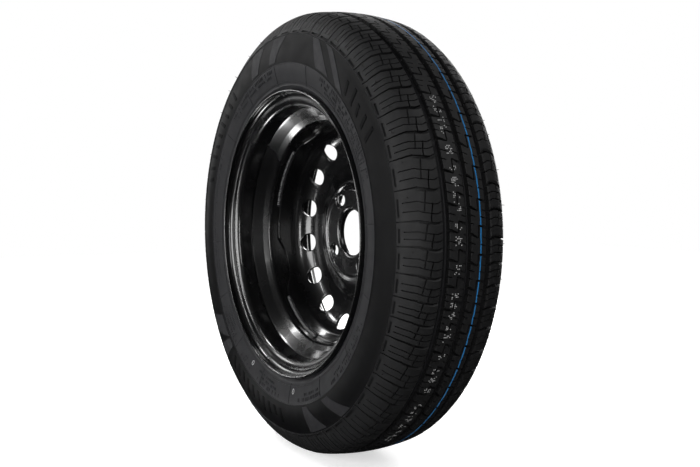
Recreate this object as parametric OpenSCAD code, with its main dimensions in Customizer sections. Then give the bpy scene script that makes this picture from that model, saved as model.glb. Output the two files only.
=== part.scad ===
// Trailer wheel: a 13 inch pressed steel wheel with a tubeless tyre on it.
// The origin is the wheel's centre. +Y is the spin axis and points outboard, to
// the valve side. The hub enters from the -Y side. +Z is up. Millimetres.
// A section point is [distance outboard of the centre plane, radius].

/* [Tyre] */
// Radius of the tread at the centre plane
tyre_r = 281; // [280:0.5:282]
// Radius of the tread's crown across the wheel
crown_r = 256; // [240:1:300]
// Depth of the tread grooves
groove_depth = 6.5; // [4:0.5:7.5]
// Distance from the centre groove to each side groove
groove_gap = 28.5; // [27:0.5:30]
// Width of the slanted grooves across the shoulders
shoulder_cut_w = 2; // [1.2:0.1:3]
// Radius where the tread's buttress steps down to the sidewall
buttress_r = 250.5; // [249:0.5:251.5]

/* [Rim] */
// Radius of the bead seat at the flange
seat_r = 164.7; // [164:0.1:165.5]
// Half the rim's width between its flanges
half_rim_w = 57.15; // [56:0.05:58]
// Radius of the rim's well on the tyre side
well_r = 146.5; // [146:0.1:147.5]
// Thickness of the rolled rim sheet
rim_sheet = 2.5; // [2.3:0.1:2.8]

/* [Disc] */
// Thickness of the pressed disc
disc_sheet = 3.5; // [3:0.1:3.8]
// Distance of the mounting face outboard of the centre plane
inset = 30; // [28:0.5:32]
// Radius of the centre bore
bore_r = 30; // [28:0.5:30.5]
// Radius of the bolt circle
bolt_circle_r = 50; // [49:0.5:51]
// Radius of each bolt hole
bolt_hole_r = 7.25; // [6.5:0.25:7.5]
// Angle of the first bolt hole above +X
bolt_turn = 31; // [0:1:90]
// Number of vent holes
vents = 16; // [12:4:16]
// Radius of each vent hole
vent_r = 12; // [9:0.5:12.5]
// Depth of the scallops between the disc's four welded lobes
scallop_depth = 12; // [6:1:14]

/* [Valve] */
// Angle of the valve above +X, midway between two bolt holes
valve_turn = 76; // [70:1:82]
// Length of the brass stem outside the rim
stem_length = 29.5; // [29:0.1:30]

/* [Hidden] */
$fn = 96;
flange_r = 9.5;
flange_height = 17.3;
flange_curl = 22;
disc_flange_r = well_r - rim_sheet - disc_sheet;
disc_edge = -3;
crown_bend_r = 28;
crown_y = inset + 12;
vent_tilt = 30;
lobe_turn = 20;
weld_span = 37;

// Functions on section points

function unit(v) = v / norm(v);
function right_of(v) = [v[1], -v[0]];
function mirrored(points) = [for (i = [len(points) - 1:-1:0]) [-points[i][0], points[i][1]]];
function backwards(points) = [for (i = [len(points) - 1:-1:0]) points[i]];
function arc(centre, r, from, to, steps) =
    [for (i = [0:steps]) let (a = from + (to - from) * i / steps) centre + r * [cos(a), sin(a)]];

// The points of a corner at b between a and c, rounded to radius r
function corner(a, b, c, r, steps = 5) =
    let (u = unit(a - b), v = unit(c - b), half = acos(u * v) / 2, reach = r / tan(half),
         centre = b + unit(u + v) * r / sin(half), out = b - centre,
         mid = atan2(out[1], out[0]), turn = 90 - half,
         way = u[0] * v[1] - u[1] * v[0] > 0 ? -1 : 1)
    half > 89.5 || r == 0 ? [b] : arc(centre, r, mid - way * turn, mid + way * turn, steps);

// A path through [y, radius, corner radius] stations, with its corners rounded
function rounded(s) = [for (i = [0:len(s) - 1])
    each i == 0 || i == len(s) - 1 ? [[s[i][0], s[i][1]]]
        : corner([s[i - 1][0], s[i - 1][1]], [s[i][0], s[i][1]], [s[i + 1][0], s[i + 1][1]], s[i][2])];

// A path moved sideways by t, to the right of the way it runs
function beside(p, t) = [for (i = [0:len(p) - 1])
    let (into = unit(p[i] - p[max(i - 1, 0)] + (i == 0 ? p[1] - p[0] : [0, 0])),
         out = unit(p[min(i + 1, len(p) - 1)] - p[i] + (i == len(p) - 1 ? p[i] - p[i - 1] : [0, 0])),
         n = unit(right_of(into + out)))
    p[i] + n * t / (n * right_of(into))];

// A sheet's outline with square edges, and one whose edges are rounded
function sheet(path, t) = concat(path, backwards(beside(path, t)));
function edge_arc(a, b, steps = 6) =
    let (centre = (a + b) / 2, out = a - centre, from = atan2(out[1], out[0]))
    [for (i = [1:steps - 1]) centre + norm(out) * [cos(from - 180 * i / steps), sin(from - 180 * i / steps)]];
function rolled_sheet(path, t) =
    let (other = beside(path, t), last = len(path) - 1)
    concat(path, edge_arc(path[last], other[last]), backwards(other), edge_arc(other[0], path[0]));

// Placing

// A section turned all the way round the spin axis
module turned(section, from = 0, span = 360)
    rotate([90, 0, 0]) rotate([0, 0, from]) rotate_extrude(angle = span, $fn = 180)
        polygon([for (p = section) [p[1], -p[0]]]);

// A frame at an angle above +X: X outwards, Y along the spin axis, Z round the wheel
module at(turn) rotate([0, -turn, 0]) children();

// Rim

// The tyre's side of the rim's outboard half, from the well to the flange's edge
flange_centre = [half_rim_w + flange_r, seat_r + flange_height - flange_r];
function seat_at(y) = seat_r - (half_rim_w - y) * tan(5);
bead_half = [[half_rim_w - 22.5, seat_at(half_rim_w - 22.5) + 1.6, 3],
    [half_rim_w - 19.8, seat_at(half_rim_w - 19.8), 3], [half_rim_w, seat_r, 6.5]];
flange_arc = arc(flange_centre, flange_r, 180, 90 - flange_curl, 10);
outboard_slope = [[21.5, well_r, 5], [30, 161.5, 4]];
inboard_slope = [[-31.5, 161.5, 5], [-21.5, 153.5, 8], [-15, well_r, 5]];
inboard_bead = mirrored(bead_half);
rim_corners = concat([[-half_rim_w, flange_centre[1], 0]],
    [for (i = [0:2]) [inboard_bead[i][0], inboard_bead[i][1], bead_half[2 - i][2]]],
    inboard_slope, outboard_slope, bead_half, [[half_rim_w, flange_centre[1], 0]]);
rim_path = concat([for (i = [len(flange_arc) - 1:-1:1]) [-flange_arc[i][0], flange_arc[i][1]]],
    rounded(rim_corners), [for (i = [1:len(flange_arc) - 1]) flange_arc[i]]);

module rim() color([0.06, 0.06, 0.07]) difference() {
    turned(rolled_sheet(rim_path, rim_sheet));
    valve_place() translate([0, 0, -6]) cylinder(r = valve_hole_r, h = 14, $fn = 48);
}

// Wheel disc

disc_path = rounded([[inset + 9, bore_r, 0], [inset, bore_r, 4.6], [inset, 57, 4], [inset + 2.4, 59.6, 2.5],
    [inset + 2.4, 61.6, 2.5], [inset, 64.2, 4], [inset, 67.5, 7], [crown_y, 92, 18],
    [crown_y, disc_flange_r, crown_bend_r], [disc_edge, disc_flange_r, 0]]);

module wheel_disc() color([0.06, 0.06, 0.07]) difference() {
    union() {
        turned(sheet(disc_path, disc_sheet));
        for (i = [0:3]) at(bolt_turn + 90 * i) bolt_boss();
    }
    for (i = [0:3]) at(bolt_turn + 90 * i) bolt_hole();
    for (i = [0:vents - 1]) at(bolt_turn + 360 / vents * i) vent_hole();
    for (i = [0:3]) at(lobe_turn + 90 * i) scallop();
}

// A frame on the disc's inboard face at a bolt hole, with Z outboard
module on_bolt() translate([bolt_circle_r, inset, 0]) rotate([-90, 0, 0]) children();
module bolt_boss() on_bolt() translate([0, 0, 1.5]) cylinder(r1 = 17, r2 = 12, h = 7);
module bolt_hole() on_bolt() {
    translate([0, 0, -1]) cylinder(r = bolt_hole_r, h = 12, $fn = 48);
    translate([0, 0, -0.5]) cylinder(r1 = 11.9, r2 = 8.9, h = 3);
    translate([0, 0, 5]) cylinder(r1 = bolt_hole_r, r2 = bolt_hole_r + 4 * tan(30), h = 4);
}

// The vents go square through the bend between the disc's crown and its flange
module vent_hole() translate([disc_flange_r - crown_bend_r, crown_y - crown_bend_r, 0])
    rotate([0, 0, -vent_tilt]) rotate([-90, 0, 0]) translate([0, 0, crown_bend_r - 8])
        cylinder(r = vent_r, h = 20, $fn = 48);

// A scallop in the flange's edge is the side of a large cylinder across it
scallop_half_w = 36.5;
scallop_r = (scallop_half_w * scallop_half_w + scallop_depth * scallop_depth) / (2 * scallop_depth);
module scallop() translate([disc_flange_r - 15, disc_edge + scallop_depth - scallop_r, 0])
    rotate([0, 90, 0]) cylinder(r = scallop_r, h = 30, $fn = 96);

weld_section = concat([[disc_edge, disc_flange_r + disc_sheet], [disc_edge, disc_flange_r + 0.4]],
    arc([disc_edge - 0.4, disc_flange_r + disc_sheet], 4, 262, 184, 6),
    [[disc_edge - 4.4, well_r - rim_sheet]]);
module disc_welds() color([0.09, 0.09, 0.1]) for (i = [0:3])
    turned(weld_section, lobe_turn + 20 + 90 * i, weld_span);

// Tyre

function crown_at(y) = tyre_r - crown_r + sqrt(crown_r * crown_r - y * y);

// A smooth curve through hand-picked stations
function between(a, b, c, d, t) =
    0.5 * (2 * b + (c - a) * t + (2 * a - 5 * b + 4 * c - d) * t * t + (3 * b - a - 3 * c + d) * t * t * t);
function curve(s, steps) = concat([for (i = [0:len(s) - 2], k = [0:steps - 1])
    between(s[max(i - 1, 0)], s[i], s[i + 1], s[min(i + 2, len(s) - 1)], k / steps)], [s[len(s) - 1]]);

// The outboard half of the tyre's outside, from the crown down to the rim's flange
crown_edge = 45;
crown_line = [for (y = [0:5:crown_edge]) [y, crown_at(y)]];
shoulder_line = curve([[crown_edge, crown_at(crown_edge)], [51, 274], [55.2, 271], [59.2, 266.7],
    [64.2, 260.2], [68.2, 253.2], [70.8, buttress_r]], 2);
sidewall_line = curve([[70.2, buttress_r - 1.5], [72.4, 238], [73.8, 229], [74, 220], [73, 209], [70.6, 198],
    [67.9, 188.2]], 2);
fitting_line = [[68.1, 186.6], [67.5, 185.6], [66.2, 183.6]];
bead_contact = [for (p = rim_path) if (p[0] > half_rim_w - 20.5 && p[0] <= flange_centre[0] - 1) p];
tyre_outside = concat([for (i = [0:len(crown_line) - 2]) crown_line[i]], shoulder_line, sidewall_line,
    fitting_line, backwards(bead_contact));

// The outboard half of the tyre's inside, from the bead's toe up to the crown
tyre_inside = curve([[half_rim_w - 19.4, 165.6], [half_rim_w - 14, 172], [51.5, 180], [57, 190], [63.5, 203],
    [67.6, 220], [66.4, 236], [60.5, 252], [51, 262.4], [38, 267.2], [20, 268.4], [0, 268.6]], 2);
tyre_section = concat(tyre_outside, tyre_inside,
    [for (i = [1:len(tyre_inside) - 1]) mirrored(tyre_inside)[i]],
    [for (i = [0:len(tyre_outside) - 2]) mirrored(tyre_outside)[i]]);

// A groove round the tread, with sloping walls and a bevel on its edges
module ring_groove(y, w) let (top = crown_at(y), floor = top - groove_depth, h = w / 2)
    turned([[y - h - 1.2, top + 2], [y - h - 1.2, top + 0.3], [y - h, top - 1.2], [y - h + 1, floor + 1],
        [y - h + 2, floor], [y + h - 2, floor], [y + h - 1, floor + 1], [y + h, top - 1.2],
        [y + h + 1.2, top + 0.3], [y + h + 1.2, top + 2]]);

module tyre() color([0.13, 0.13, 0.14]) difference() {
    turned(tyre_section);
    ring_groove(-groove_gap, 6);
    ring_groove(0, 5);
    ring_groove(groove_gap, 6);
    for (i = [0:len(pitch_order) - 1]) {
        at(pitch_start(i)) rotate([180, 0, 0]) shoulder_cut();
        at(pitch_start(i) + far_shoulder_lead) shoulder_cut();
        at(pitch_start(i) + inboard_rib_lead) rotate([180, 0, 0]) rib_notches(pitch_long(i));
        at(pitch_start(i + 1) + outboard_rib_lead) rib_notches(pitch_long(i));
    }
}

// Four pitch lengths, in degrees, follow each other unevenly, so that the tread doesn't hum.
// They run downwards from the first one. The ribs and the far shoulder lead the near shoulder.
pitch_kinds = [5.15, 5.65, 6.25, 7.35];
pitch_order = [0, 0, 1, 0, 1, 1, 1, 1, 2, 1, 3, 3, 1, 2, 1, 0, 0, 0, 2, 1, 3, 3, 2, 1, 0, 0, 1, 1, 2, 0, 1,
    0, 3, 1, 0, 0, 2, 1, 0, 1, 2, 0, 0, 1, 3, 2, 0, 1, 0, 1, 2, 1, 0, 3, 1, 0, 2, 1, 0, 3, 0, 2];
first_pitch = 75;
inboard_rib_lead = 3.5;
outboard_rib_lead = 3.9;
far_shoulder_lead = 7.4;
function pitch_start(i) = i == 0 ? first_pitch : pitch_start(i - 1) - pitch_kinds[pitch_order[i - 1]];
function pitch_long(i) = tyre_r * PI / 180 * pitch_kinds[pitch_order[i]];

// The groove across the outboard shoulder, and the notches of one pitch in the outboard rib, which
// run from Z = 0 towards +Z. The inboard half has the same, turned half round.
shoulder_depth = 3.5;
cut_line = [[32, crown_at(32)], [crown_edge, crown_at(crown_edge)], [55.2, 271], [64.2, 260.2],
    [71.4, buttress_r - 0.5]];
shoulder_cut_section = concat([[32, tyre_r + 5], [80, tyre_r + 5], [80, buttress_r - 0.5]],
    backwards(beside(cut_line, shoulder_depth)));
module shoulder_cut() translate([0, 0, -shoulder_cut_w / 2]) linear_extrude(shoulder_cut_w)
    polygon([for (p = shoulder_cut_section) [p[1], p[0]]]);
module rib_notches(long) {
    notch([groove_gap - 2.3, 0], [groove_gap - 15, 0.1 * long], 2.4);
    notch([1.9, 0.8 * long], [12.6, 0.65 * long], 2.4);
}

// A short tapering notch in a rib, from a to b, given as [y, distance round the wheel]
module notch(a, b, w) translate([crown_at(a[0]) - 5, 0, 0]) rotate([0, 90, 0]) linear_extrude(9)
    polygon([[-a[1] - w / 2, a[0]], [-b[1] - w / 4, b[0]], [-b[1] + w / 4, b[0]], [-a[1] + w / 2, a[0]]]);

// Valve

wall_tilt = atan2(outboard_slope[1][1] - outboard_slope[0][1], outboard_slope[1][0] - outboard_slope[0][0]);
wall_mid = [(outboard_slope[0][0] + outboard_slope[1][0]) / 2, (outboard_slope[0][1] + outboard_slope[1][1]) / 2];
valve_hole_r = 5.65;

// A frame on the rim's slope, with Z out of the rim along the valve
module valve_place() at(valve_turn) translate([wall_mid[1], wall_mid[0], 0]) rotate([0, 0, 90 - wall_tilt])
    rotate([-90, 0, 0]) children();

// A section of [radius, height] points turned round the valve's axis
module valve_turned(points) valve_place() rotate_extrude($fn = 48) polygon(points);

stem_r = 3.85;
stem_bore_r = 1.5;
core_r = 2.5;
core_bottom = 17.5;
core_top = stem_length - 1;
pin_r = 0.6;
spring_r = 1.05;
spring_wire_r = 0.25;

module valve_body() color([0.07, 0.07, 0.07]) valve_turned([[stem_r, -3], [5.5, -3.6], [8.6, -2.4], [9.5, 0],
    [valve_hole_r, 0], [valve_hole_r, rim_sheet], [7.6, rim_sheet], [7.4, 5], [6.6, 8], [5.4, 15], [4.9, 18],
    [stem_r, 18.5]]);

module valve_stem() color([0.72, 0.56, 0.28]) valve_turned([[stem_bore_r, -3.4], [stem_r, -3.4],
    [stem_r, stem_length - 0.6], [stem_r - 0.6, stem_length], [core_r, stem_length], [core_r, 21],
    [core_r - 0.3, 20.2], [core_r - 0.3, 12], [stem_bore_r, 11]]);

module valve_core_barrel() color([0.8, 0.66, 0.36]) valve_turned([[0.95, core_bottom], [1.9, core_bottom],
    [1.9, 20.4], [core_r, 21.2], [core_r, core_top], [1.5, core_top], [1.5, core_bottom + 1],
    [0.95, core_bottom + 1]]);

module valve_core_seal() color([0.85, 0.85, 0.8]) valve_turned([[1.9, 18.4], [core_r - 0.3, 18.6],
    [core_r - 0.3, 20.2], [1.9, 20]]);

module valve_core_pin() color([0.8, 0.66, 0.36]) valve_turned([[0, 14.4], [1.8, 14.4], [1.8, 15.2], [1.4, 16],
    [pin_r, 16], [pin_r, 26], [1.3, 26], [1.3, 26.8], [pin_r, 26.8], [pin_r, stem_length - 0.4],
    [0, stem_length - 0.4]]);

module valve_core_cup_seal() color([0.1, 0.1, 0.1]) valve_turned([[pin_r, 16], [1.4, 16], [1.75, 16.3],
    [1.75, core_bottom], [pin_r, core_bottom]]);

// The spring pushes the pin's collar up from the barrel's floor
spring_turns = 7;
spring_steps = spring_turns * 10;
spring_low = core_bottom + 1 + spring_wire_r;
spring_high = 26 - spring_wire_r;
function spring_point(i, a) = let (turn = 36 * i, r = spring_r + spring_wire_r * cos(a))
    [r * cos(turn), r * sin(turn),
     spring_low + (spring_high - spring_low) * i / spring_steps + spring_wire_r * sin(a)];
module valve_core_spring() color([0.75, 0.76, 0.78]) valve_place() polyhedron(
    [for (i = [0:spring_steps], k = [0:5]) spring_point(i, 60 * k)],
    concat([[for (k = [0:5]) k]],
        [for (i = [0:spring_steps - 1], k = [0:5])
            [6 * i + k, 6 * i + 6 + k, 6 * i + 6 + (k + 1) % 6, 6 * i + (k + 1) % 6]],
        [[for (k = [5:-1:0]) 6 * spring_steps + k]]));

cap_low = stem_length - 9;
cap_high = stem_length + 2;
module valve_cap() color([0.05, 0.05, 0.05]) difference() {
    valve_turned([[0, stem_length + 0.6], [stem_r + 0.05, stem_length + 0.6], [stem_r + 0.05, cap_low],
        [4.9, cap_low], [4.9, cap_high - 0.8], [4.1, cap_high], [0, cap_high]]);
    valve_place() for (i = [0:11]) rotate([0, 0, 30 * i]) translate([5.2, 0, cap_low + 1])
        cylinder(r = 0.55, h = 12, $fn = 16);
}

module valve_cap_seal() color([0.1, 0.1, 0.1]) valve_turned([[0, stem_length + 0.05],
    [3.5, stem_length + 0.05], [3.5, stem_length + 0.6], [0, stem_length + 0.6]]);

tyre();
rim();
wheel_disc();
disc_welds();
valve_body();
valve_stem();
valve_core_barrel();
valve_core_seal();
valve_core_pin();
valve_core_cup_seal();
valve_core_spring();
valve_cap();
valve_cap_seal();
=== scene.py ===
"""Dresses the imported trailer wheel: a gloss black pressed steel wheel with a tubeless tyre.

Sections are lists of (distance outboard of the centre plane, radius) in millimetres, as in the
part's source. Angles round the wheel start at +X and rise towards +Z.
"""
import logging
import math
import random
from dataclasses import dataclass
from enum import Enum
from typing import Callable, Iterable, Sequence

import bmesh
import bpy
import numpy as np
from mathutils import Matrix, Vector
from mathutils.geometry import delaunay_2d_cdt


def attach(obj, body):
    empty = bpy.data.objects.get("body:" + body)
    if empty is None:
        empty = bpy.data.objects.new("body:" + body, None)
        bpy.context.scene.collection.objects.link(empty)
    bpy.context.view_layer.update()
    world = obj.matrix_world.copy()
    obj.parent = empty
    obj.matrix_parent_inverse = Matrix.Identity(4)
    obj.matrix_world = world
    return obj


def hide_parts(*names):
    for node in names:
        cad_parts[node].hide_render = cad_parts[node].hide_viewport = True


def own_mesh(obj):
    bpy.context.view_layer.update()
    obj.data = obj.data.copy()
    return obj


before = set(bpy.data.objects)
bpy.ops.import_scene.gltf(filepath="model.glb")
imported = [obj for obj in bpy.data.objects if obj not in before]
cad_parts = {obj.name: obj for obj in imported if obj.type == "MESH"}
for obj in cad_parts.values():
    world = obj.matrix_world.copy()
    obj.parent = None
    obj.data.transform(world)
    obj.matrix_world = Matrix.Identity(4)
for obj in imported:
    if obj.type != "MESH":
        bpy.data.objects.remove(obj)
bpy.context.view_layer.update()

MM = 0.001
NO_LENGTH = 1e-7  # Metres under which an edge counts as none
LOG = logging.getLogger("trailer_wheel")

Point = tuple[float, float]
Place = tuple[float, float, float]
Mesh = tuple[list[Place], list[Sequence[int]]]
Depth = Callable[[float, float], float]  # Millimetres below the tread at a place in a tread zone
Object = bpy.types.Object
Tree = bpy.types.NodeTree
Socket = bpy.types.NodeSocket


# Plane sections

def clamped(value: float) -> float:
    """The value, held between nought and one."""
    return min(max(float(value), 0.0), 1.0)


def eased(value: float, start: float, width: float) -> float:
    """Nought up to a start, one past a width from there, and an even S curve between."""
    return 0.5 - 0.5 * math.cos(math.pi * clamped((value - start) / width))


def unit(v: np.ndarray) -> np.ndarray:
    """The vector v at length one."""
    return v / np.linalg.norm(v)


def anticlockwise(loop: Sequence[Point]) -> list[Point]:
    """The loop, run anticlockwise."""
    area = sum(a[0] * b[1] - a[1] * b[0] for a, b in zip(loop, [*loop[1:], loop[0]]))
    return list(loop) if area > 0 else list(loop)[::-1]


def mirrored(path: Sequence[Point]) -> list[Point]:
    """The path on the other side of the centre plane, run the other way."""
    return [(-y, r) for y, r in reversed(path)]


def arc(centre: Point, radius: float, start: float, end: float, steps: int) -> list[Point]:
    """Points along a circle's arc.

    Args:
        centre: The circle's centre.
        radius: Its radius.
        start: First angle in degrees.
        end: Last angle in degrees.
        steps: Number of chords.
    Returns:
        The points, ends included.
    """
    turns = np.radians(np.linspace(start, end, steps + 1))
    return [(centre[0] + radius * math.cos(a), centre[1] + radius * math.sin(a)) for a in turns]


def rounded(stations: Sequence[tuple[float, float, float]], step: float = 6.0) -> list[Point]:
    """A path through stations with rounded corners.

    Args:
        stations: (y, radius, corner radius) of each corner and end.
        step: Degrees turned by each chord of a corner.
    Returns:
        The path's points.
    """
    spots = [np.array(s[:2], float) for s in stations]
    path: list[Point] = [tuple(spots[0])]
    for before, at, after, (_, _, radius) in zip(spots, spots[1:], spots[2:], stations[1:-1]):
        u, v = unit(before - at), unit(after - at)
        half = math.acos(float(np.clip(u @ v, -1, 1))) / 2
        if radius == 0 or half > math.radians(89.5):
            path.append(tuple(at))
            continue
        centre = at + unit(u + v) * radius / math.sin(half)
        middle = math.degrees(math.atan2(*(at - centre)[::-1]))
        turn = 90 - math.degrees(half)
        way = -1 if u[0] * v[1] - u[1] * v[0] > 0 else 1
        steps = max(2, round(2 * turn / step))
        path += arc(tuple(centre), radius, middle - way * turn, middle + way * turn, steps)
    return path + [tuple(spots[-1])]


def smooth(stations: Sequence[Point], steps: int) -> list[Point]:
    """A smooth curve through given stations, in steps chords from each to the next."""
    spots = [np.array(s, float) for s in stations]
    path = []
    for i in range(len(spots) - 1):
        a, b, c, d = (spots[min(max(i + k, 0), len(spots) - 1)] for k in (-1, 0, 1, 2))
        for t in np.arange(steps) / steps:
            path.append(tuple(0.5 * (2 * b + (c - a) * t + (2 * a - 5 * b + 4 * c - d) * t ** 2
                                     + (3 * b - a - 3 * c + d) * t ** 3)))
    return path + [tuple(spots[-1])]


def directions(path: Sequence[Point]) -> np.ndarray:
    """The unit vector along each chord of a path."""
    ways = np.diff(np.array(path), axis=0)
    return ways / np.linalg.norm(ways, axis=1, keepdims=True)


def normals(path: Sequence[Point]) -> np.ndarray:
    """The unit normals along a path, to the right of the way it runs."""
    ways = directions(path)
    mixed = np.vstack([ways[:1], ways[:-1] + ways[1:], ways[-1:]])
    mixed /= np.linalg.norm(mixed, axis=1, keepdims=True)
    return np.stack([mixed[:, 1], -mixed[:, 0]], 1)


def beside(path: Sequence[Point], distance: float) -> list[Point]:
    """The path moved sideways, to the right of the way it runs."""
    ways = directions(path)
    sides = normals(path)
    first = np.stack([ways[:, 1], -ways[:, 0]], 1)
    first = np.vstack([first[:1], first])
    moved = np.array(path) + sides * distance / (sides * first).sum(1, keepdims=True)
    return [tuple(p) for p in moved]


def rolled_sheet(path: Sequence[Point], thickness: float, steps: int = 6) -> list[Point]:
    """A sheet's closed section with half-round edges, from the path on one of its sides."""
    other = beside(path, thickness)

    def edge(a: Point, b: Point) -> list[Point]:
        """The half circle over an edge, from a to b."""
        centre = ((a[0] + b[0]) / 2, (a[1] + b[1]) / 2)
        start = math.degrees(math.atan2(a[1] - centre[1], a[0] - centre[0]))
        return arc(centre, thickness / 2, start, start - 180, steps)[1:-1]

    return list(path) + edge(path[-1], other[-1]) + other[::-1] + edge(other[0], path[0])


@dataclass
class Track:
    """A section path that can be read at any distance along it.

    Attributes:
        points: The path's points.
        zero: The distance outboard at which the distance along the path is zero.
        samples: Number of places tried when it is searched for a radius.
    """

    points: Sequence[Point]
    zero: float | None = None
    samples: int = 400

    def __post_init__(self) -> None:
        """Measures the path."""
        self.spots = np.array(self.points, float)
        self.along = np.r_[0, np.cumsum(np.linalg.norm(np.diff(self.spots, axis=0), axis=1))]
        if self.zero is not None:
            self.along -= np.interp(self.zero, self.spots[:, 0], self.along)
        self.sides = normals(self.points)

    def at(self, u: np.ndarray | float, out: np.ndarray | float = 0.0) -> tuple[np.ndarray, np.ndarray]:
        """Places along the track.

        Args:
            u: Distance along it.
            out: Distance to its left side, which is outwards on the tyre.
        Returns:
            Distances outboard and radii.
        """
        y, r = (np.interp(u, self.along, self.spots[:, k]) for k in (0, 1))
        side_y, side_r = (np.interp(u, self.along, self.sides[:, k]) for k in (0, 1))
        return y - side_y * out, r - side_r * out

    def u_of_radius(self, radius: float, from_u: float = 0.0, to_u: float | None = None) -> float:
        """The distance along the track, between two limits or up to its end, where it has that radius."""
        us = np.linspace(from_u, float(self.along[-1]) if to_u is None else to_u, self.samples)
        return float(us[np.argmin(abs(self.at(us)[1] - radius))])


# Meshes

def turned_place(y: float, r: float, turn: float) -> Place:
    """The place in metres of a section point at an angle in degrees."""
    a = math.radians(turn)
    return (r * math.cos(a) * MM, y * MM, r * math.sin(a) * MM)


def settled(data: bpy.types.Mesh, sharp: float, merge: float = 0.0, outwards: bool = True) -> None:
    """Cleans a mesh and shades it smooth.

    Args:
        data: The mesh.
        sharp: Angle in degrees over which an edge stays sharp.
        merge: Distance in millimetres under which places are merged.
        outwards: Whether to turn every face outwards.
    """
    work = bmesh.new()
    work.from_mesh(data)
    if merge:
        bmesh.ops.remove_doubles(work, verts=work.verts, dist=merge * MM)
        bmesh.ops.dissolve_degenerate(work, edges=work.edges, dist=NO_LENGTH)
    if outwards:
        bmesh.ops.recalc_face_normals(work, faces=work.faces)
    work.to_mesh(data)
    work.free()
    data.shade_smooth()
    data.set_sharp_from_angle(angle=math.radians(sharp))


def linked(name: str, data: bpy.types.ID) -> Object:
    """A new object of a mesh, lamp or camera, linked to the scene."""
    made = bpy.data.objects.new(name, data)
    bpy.context.scene.collection.objects.link(made)
    return made


def new_object(name: str, mesh: Mesh, merge: float = 0.0, sharp: float = 35.0,
               outwards: bool = True) -> Object:
    """Makes an object of places and faces, cleaned and shaded as settled does."""
    data = bpy.data.meshes.new(name)
    data.from_pydata([tuple(p) for p in mesh[0]], [], [tuple(f) for f in mesh[1]])
    settled(data, sharp, merge, outwards)
    return linked(name, data)


def baked(target: Object) -> Object:
    """Turns an object's modifiers into plain mesh and removes them."""
    bpy.context.view_layer.update()
    seen = target.evaluated_get(bpy.context.evaluated_depsgraph_get())
    data = bpy.data.meshes.new_from_object(seen)
    target.modifiers.clear()
    old = target.data
    target.data = data
    data.name = target.name
    if isinstance(old, bpy.types.Mesh):
        bpy.data.meshes.remove(old)
    return target


def flat_shaded_curves(target: Object) -> Object:
    """Weights an object's normals by face size, so that broad faces stay flat beside small corners."""
    weighted = target.modifiers.new("Even normals", "WEIGHTED_NORMAL")
    weighted.keep_sharp = True
    return baked(target)


def tube_faces(rows: int, count: int, ring: bool = False, capped: bool = False) -> list[Sequence[int]]:
    """The faces between rows of places, each row a closed loop.

    Args:
        rows: Number of rows.
        count: Number of places in a row.
        ring: Whether the last row joins the first.
        capped: Whether the first and the last row are faces too.
    Returns:
        The faces.
    """
    faces: list[Sequence[int]] = []
    for i in range(rows if ring else rows - 1):
        a, b = i * count, (i + 1) % rows * count
        for k in range(count):
            n = (k + 1) % count
            faces.append((a + k, a + n, b + n, b + k))
    if capped:
        faces += [tuple(range(count)), tuple(range((rows - 1) * count, rows * count))[::-1]]
    return faces


def revolved(section: Sequence[Point], segments: int) -> Mesh:
    """A closed section turned right round the spin axis in a number of steps."""
    places = [turned_place(y, r, 360 * i / segments) for i in range(segments) for y, r in section]
    return places, tube_faces(segments, len(section), ring=True)


def joined(meshes: Iterable[Mesh]) -> Mesh:
    """Several meshes as one."""
    places: list[Place] = []
    faces: list[Sequence[int]] = []
    for more_places, more_faces in meshes:
        base = len(places)
        places += more_places
        faces += [tuple(base + k for k in f) for f in more_faces]
    return places, faces


# Shader and geometry nodes

def linear(colour: str) -> tuple[float, float, float, float]:
    """An sRGB hex colour as linear red, green, blue and alpha."""
    parts = [int(colour[i:i + 2], 16) / 255 for i in (1, 3, 5)]
    return (*(c / 12.92 if c <= 0.04045 else ((c + 0.055) / 1.055) ** 2.4 for c in parts), 1.0)


def add_node(tree: Tree, kind: str, inputs: dict | None = None, **settings: object) -> bpy.types.Node:
    """Adds a node.

    Args:
        tree: The node tree.
        kind: The node's type.
        inputs: Values or sockets by the input's name or number.
        settings: The node's own properties.
    Returns:
        The node.
    """
    made = tree.nodes.new(kind)
    for key, value in settings.items():
        setattr(made, key, value)
    for key, value in (inputs or {}).items():
        if isinstance(value, Socket):
            tree.links.new(value, made.inputs[key])
        else:
            made.inputs[key].default_value = value
    return made


def maths(tree: Tree, operation: str, *values: Socket | float) -> Socket:
    """The result of a Math node."""
    return add_node(tree, "ShaderNodeMath", dict(enumerate(values)), operation=operation).outputs[0]


def mapped(tree: Tree, value: Socket, source: Point, target: Point, smooth: bool = False) -> Socket:
    """A value mapped from one range to another, and held inside it."""
    return add_node(tree, "ShaderNodeMapRange", dict(enumerate((value, *source, *target))),
                    interpolation_type="SMOOTHSTEP" if smooth else "LINEAR").outputs[0]


def blended(tree: Tree, share: Socket, first: Socket | str, second: str) -> Socket:
    """Two colours mixed by a share. A colour is a socket or an sRGB hex colour."""
    colours = [linear(c) if isinstance(c, str) else c for c in (first, second)]
    mix = add_node(tree, "ShaderNodeMix", {0: share, 6: colours[0], 7: colours[1]}, data_type="RGBA")
    return mix.outputs[2]


def noise(tree: Tree, place: Socket, scale: float, detail: float, rough: float = 0.5) -> Socket:
    """The value of a noise texture."""
    return add_node(tree, "ShaderNodeTexNoise", {"Vector": place, "Scale": scale, "Detail": detail,
                                                 "Roughness": rough}).outputs[0]


def distance_to(tree: Tree, place: Socket, spot: Place) -> Socket:
    """The distance of a place from a fixed spot."""
    return add_node(tree, "ShaderNodeVectorMath", {0: place, 1: spot}, operation="DISTANCE").outputs["Value"]


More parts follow.
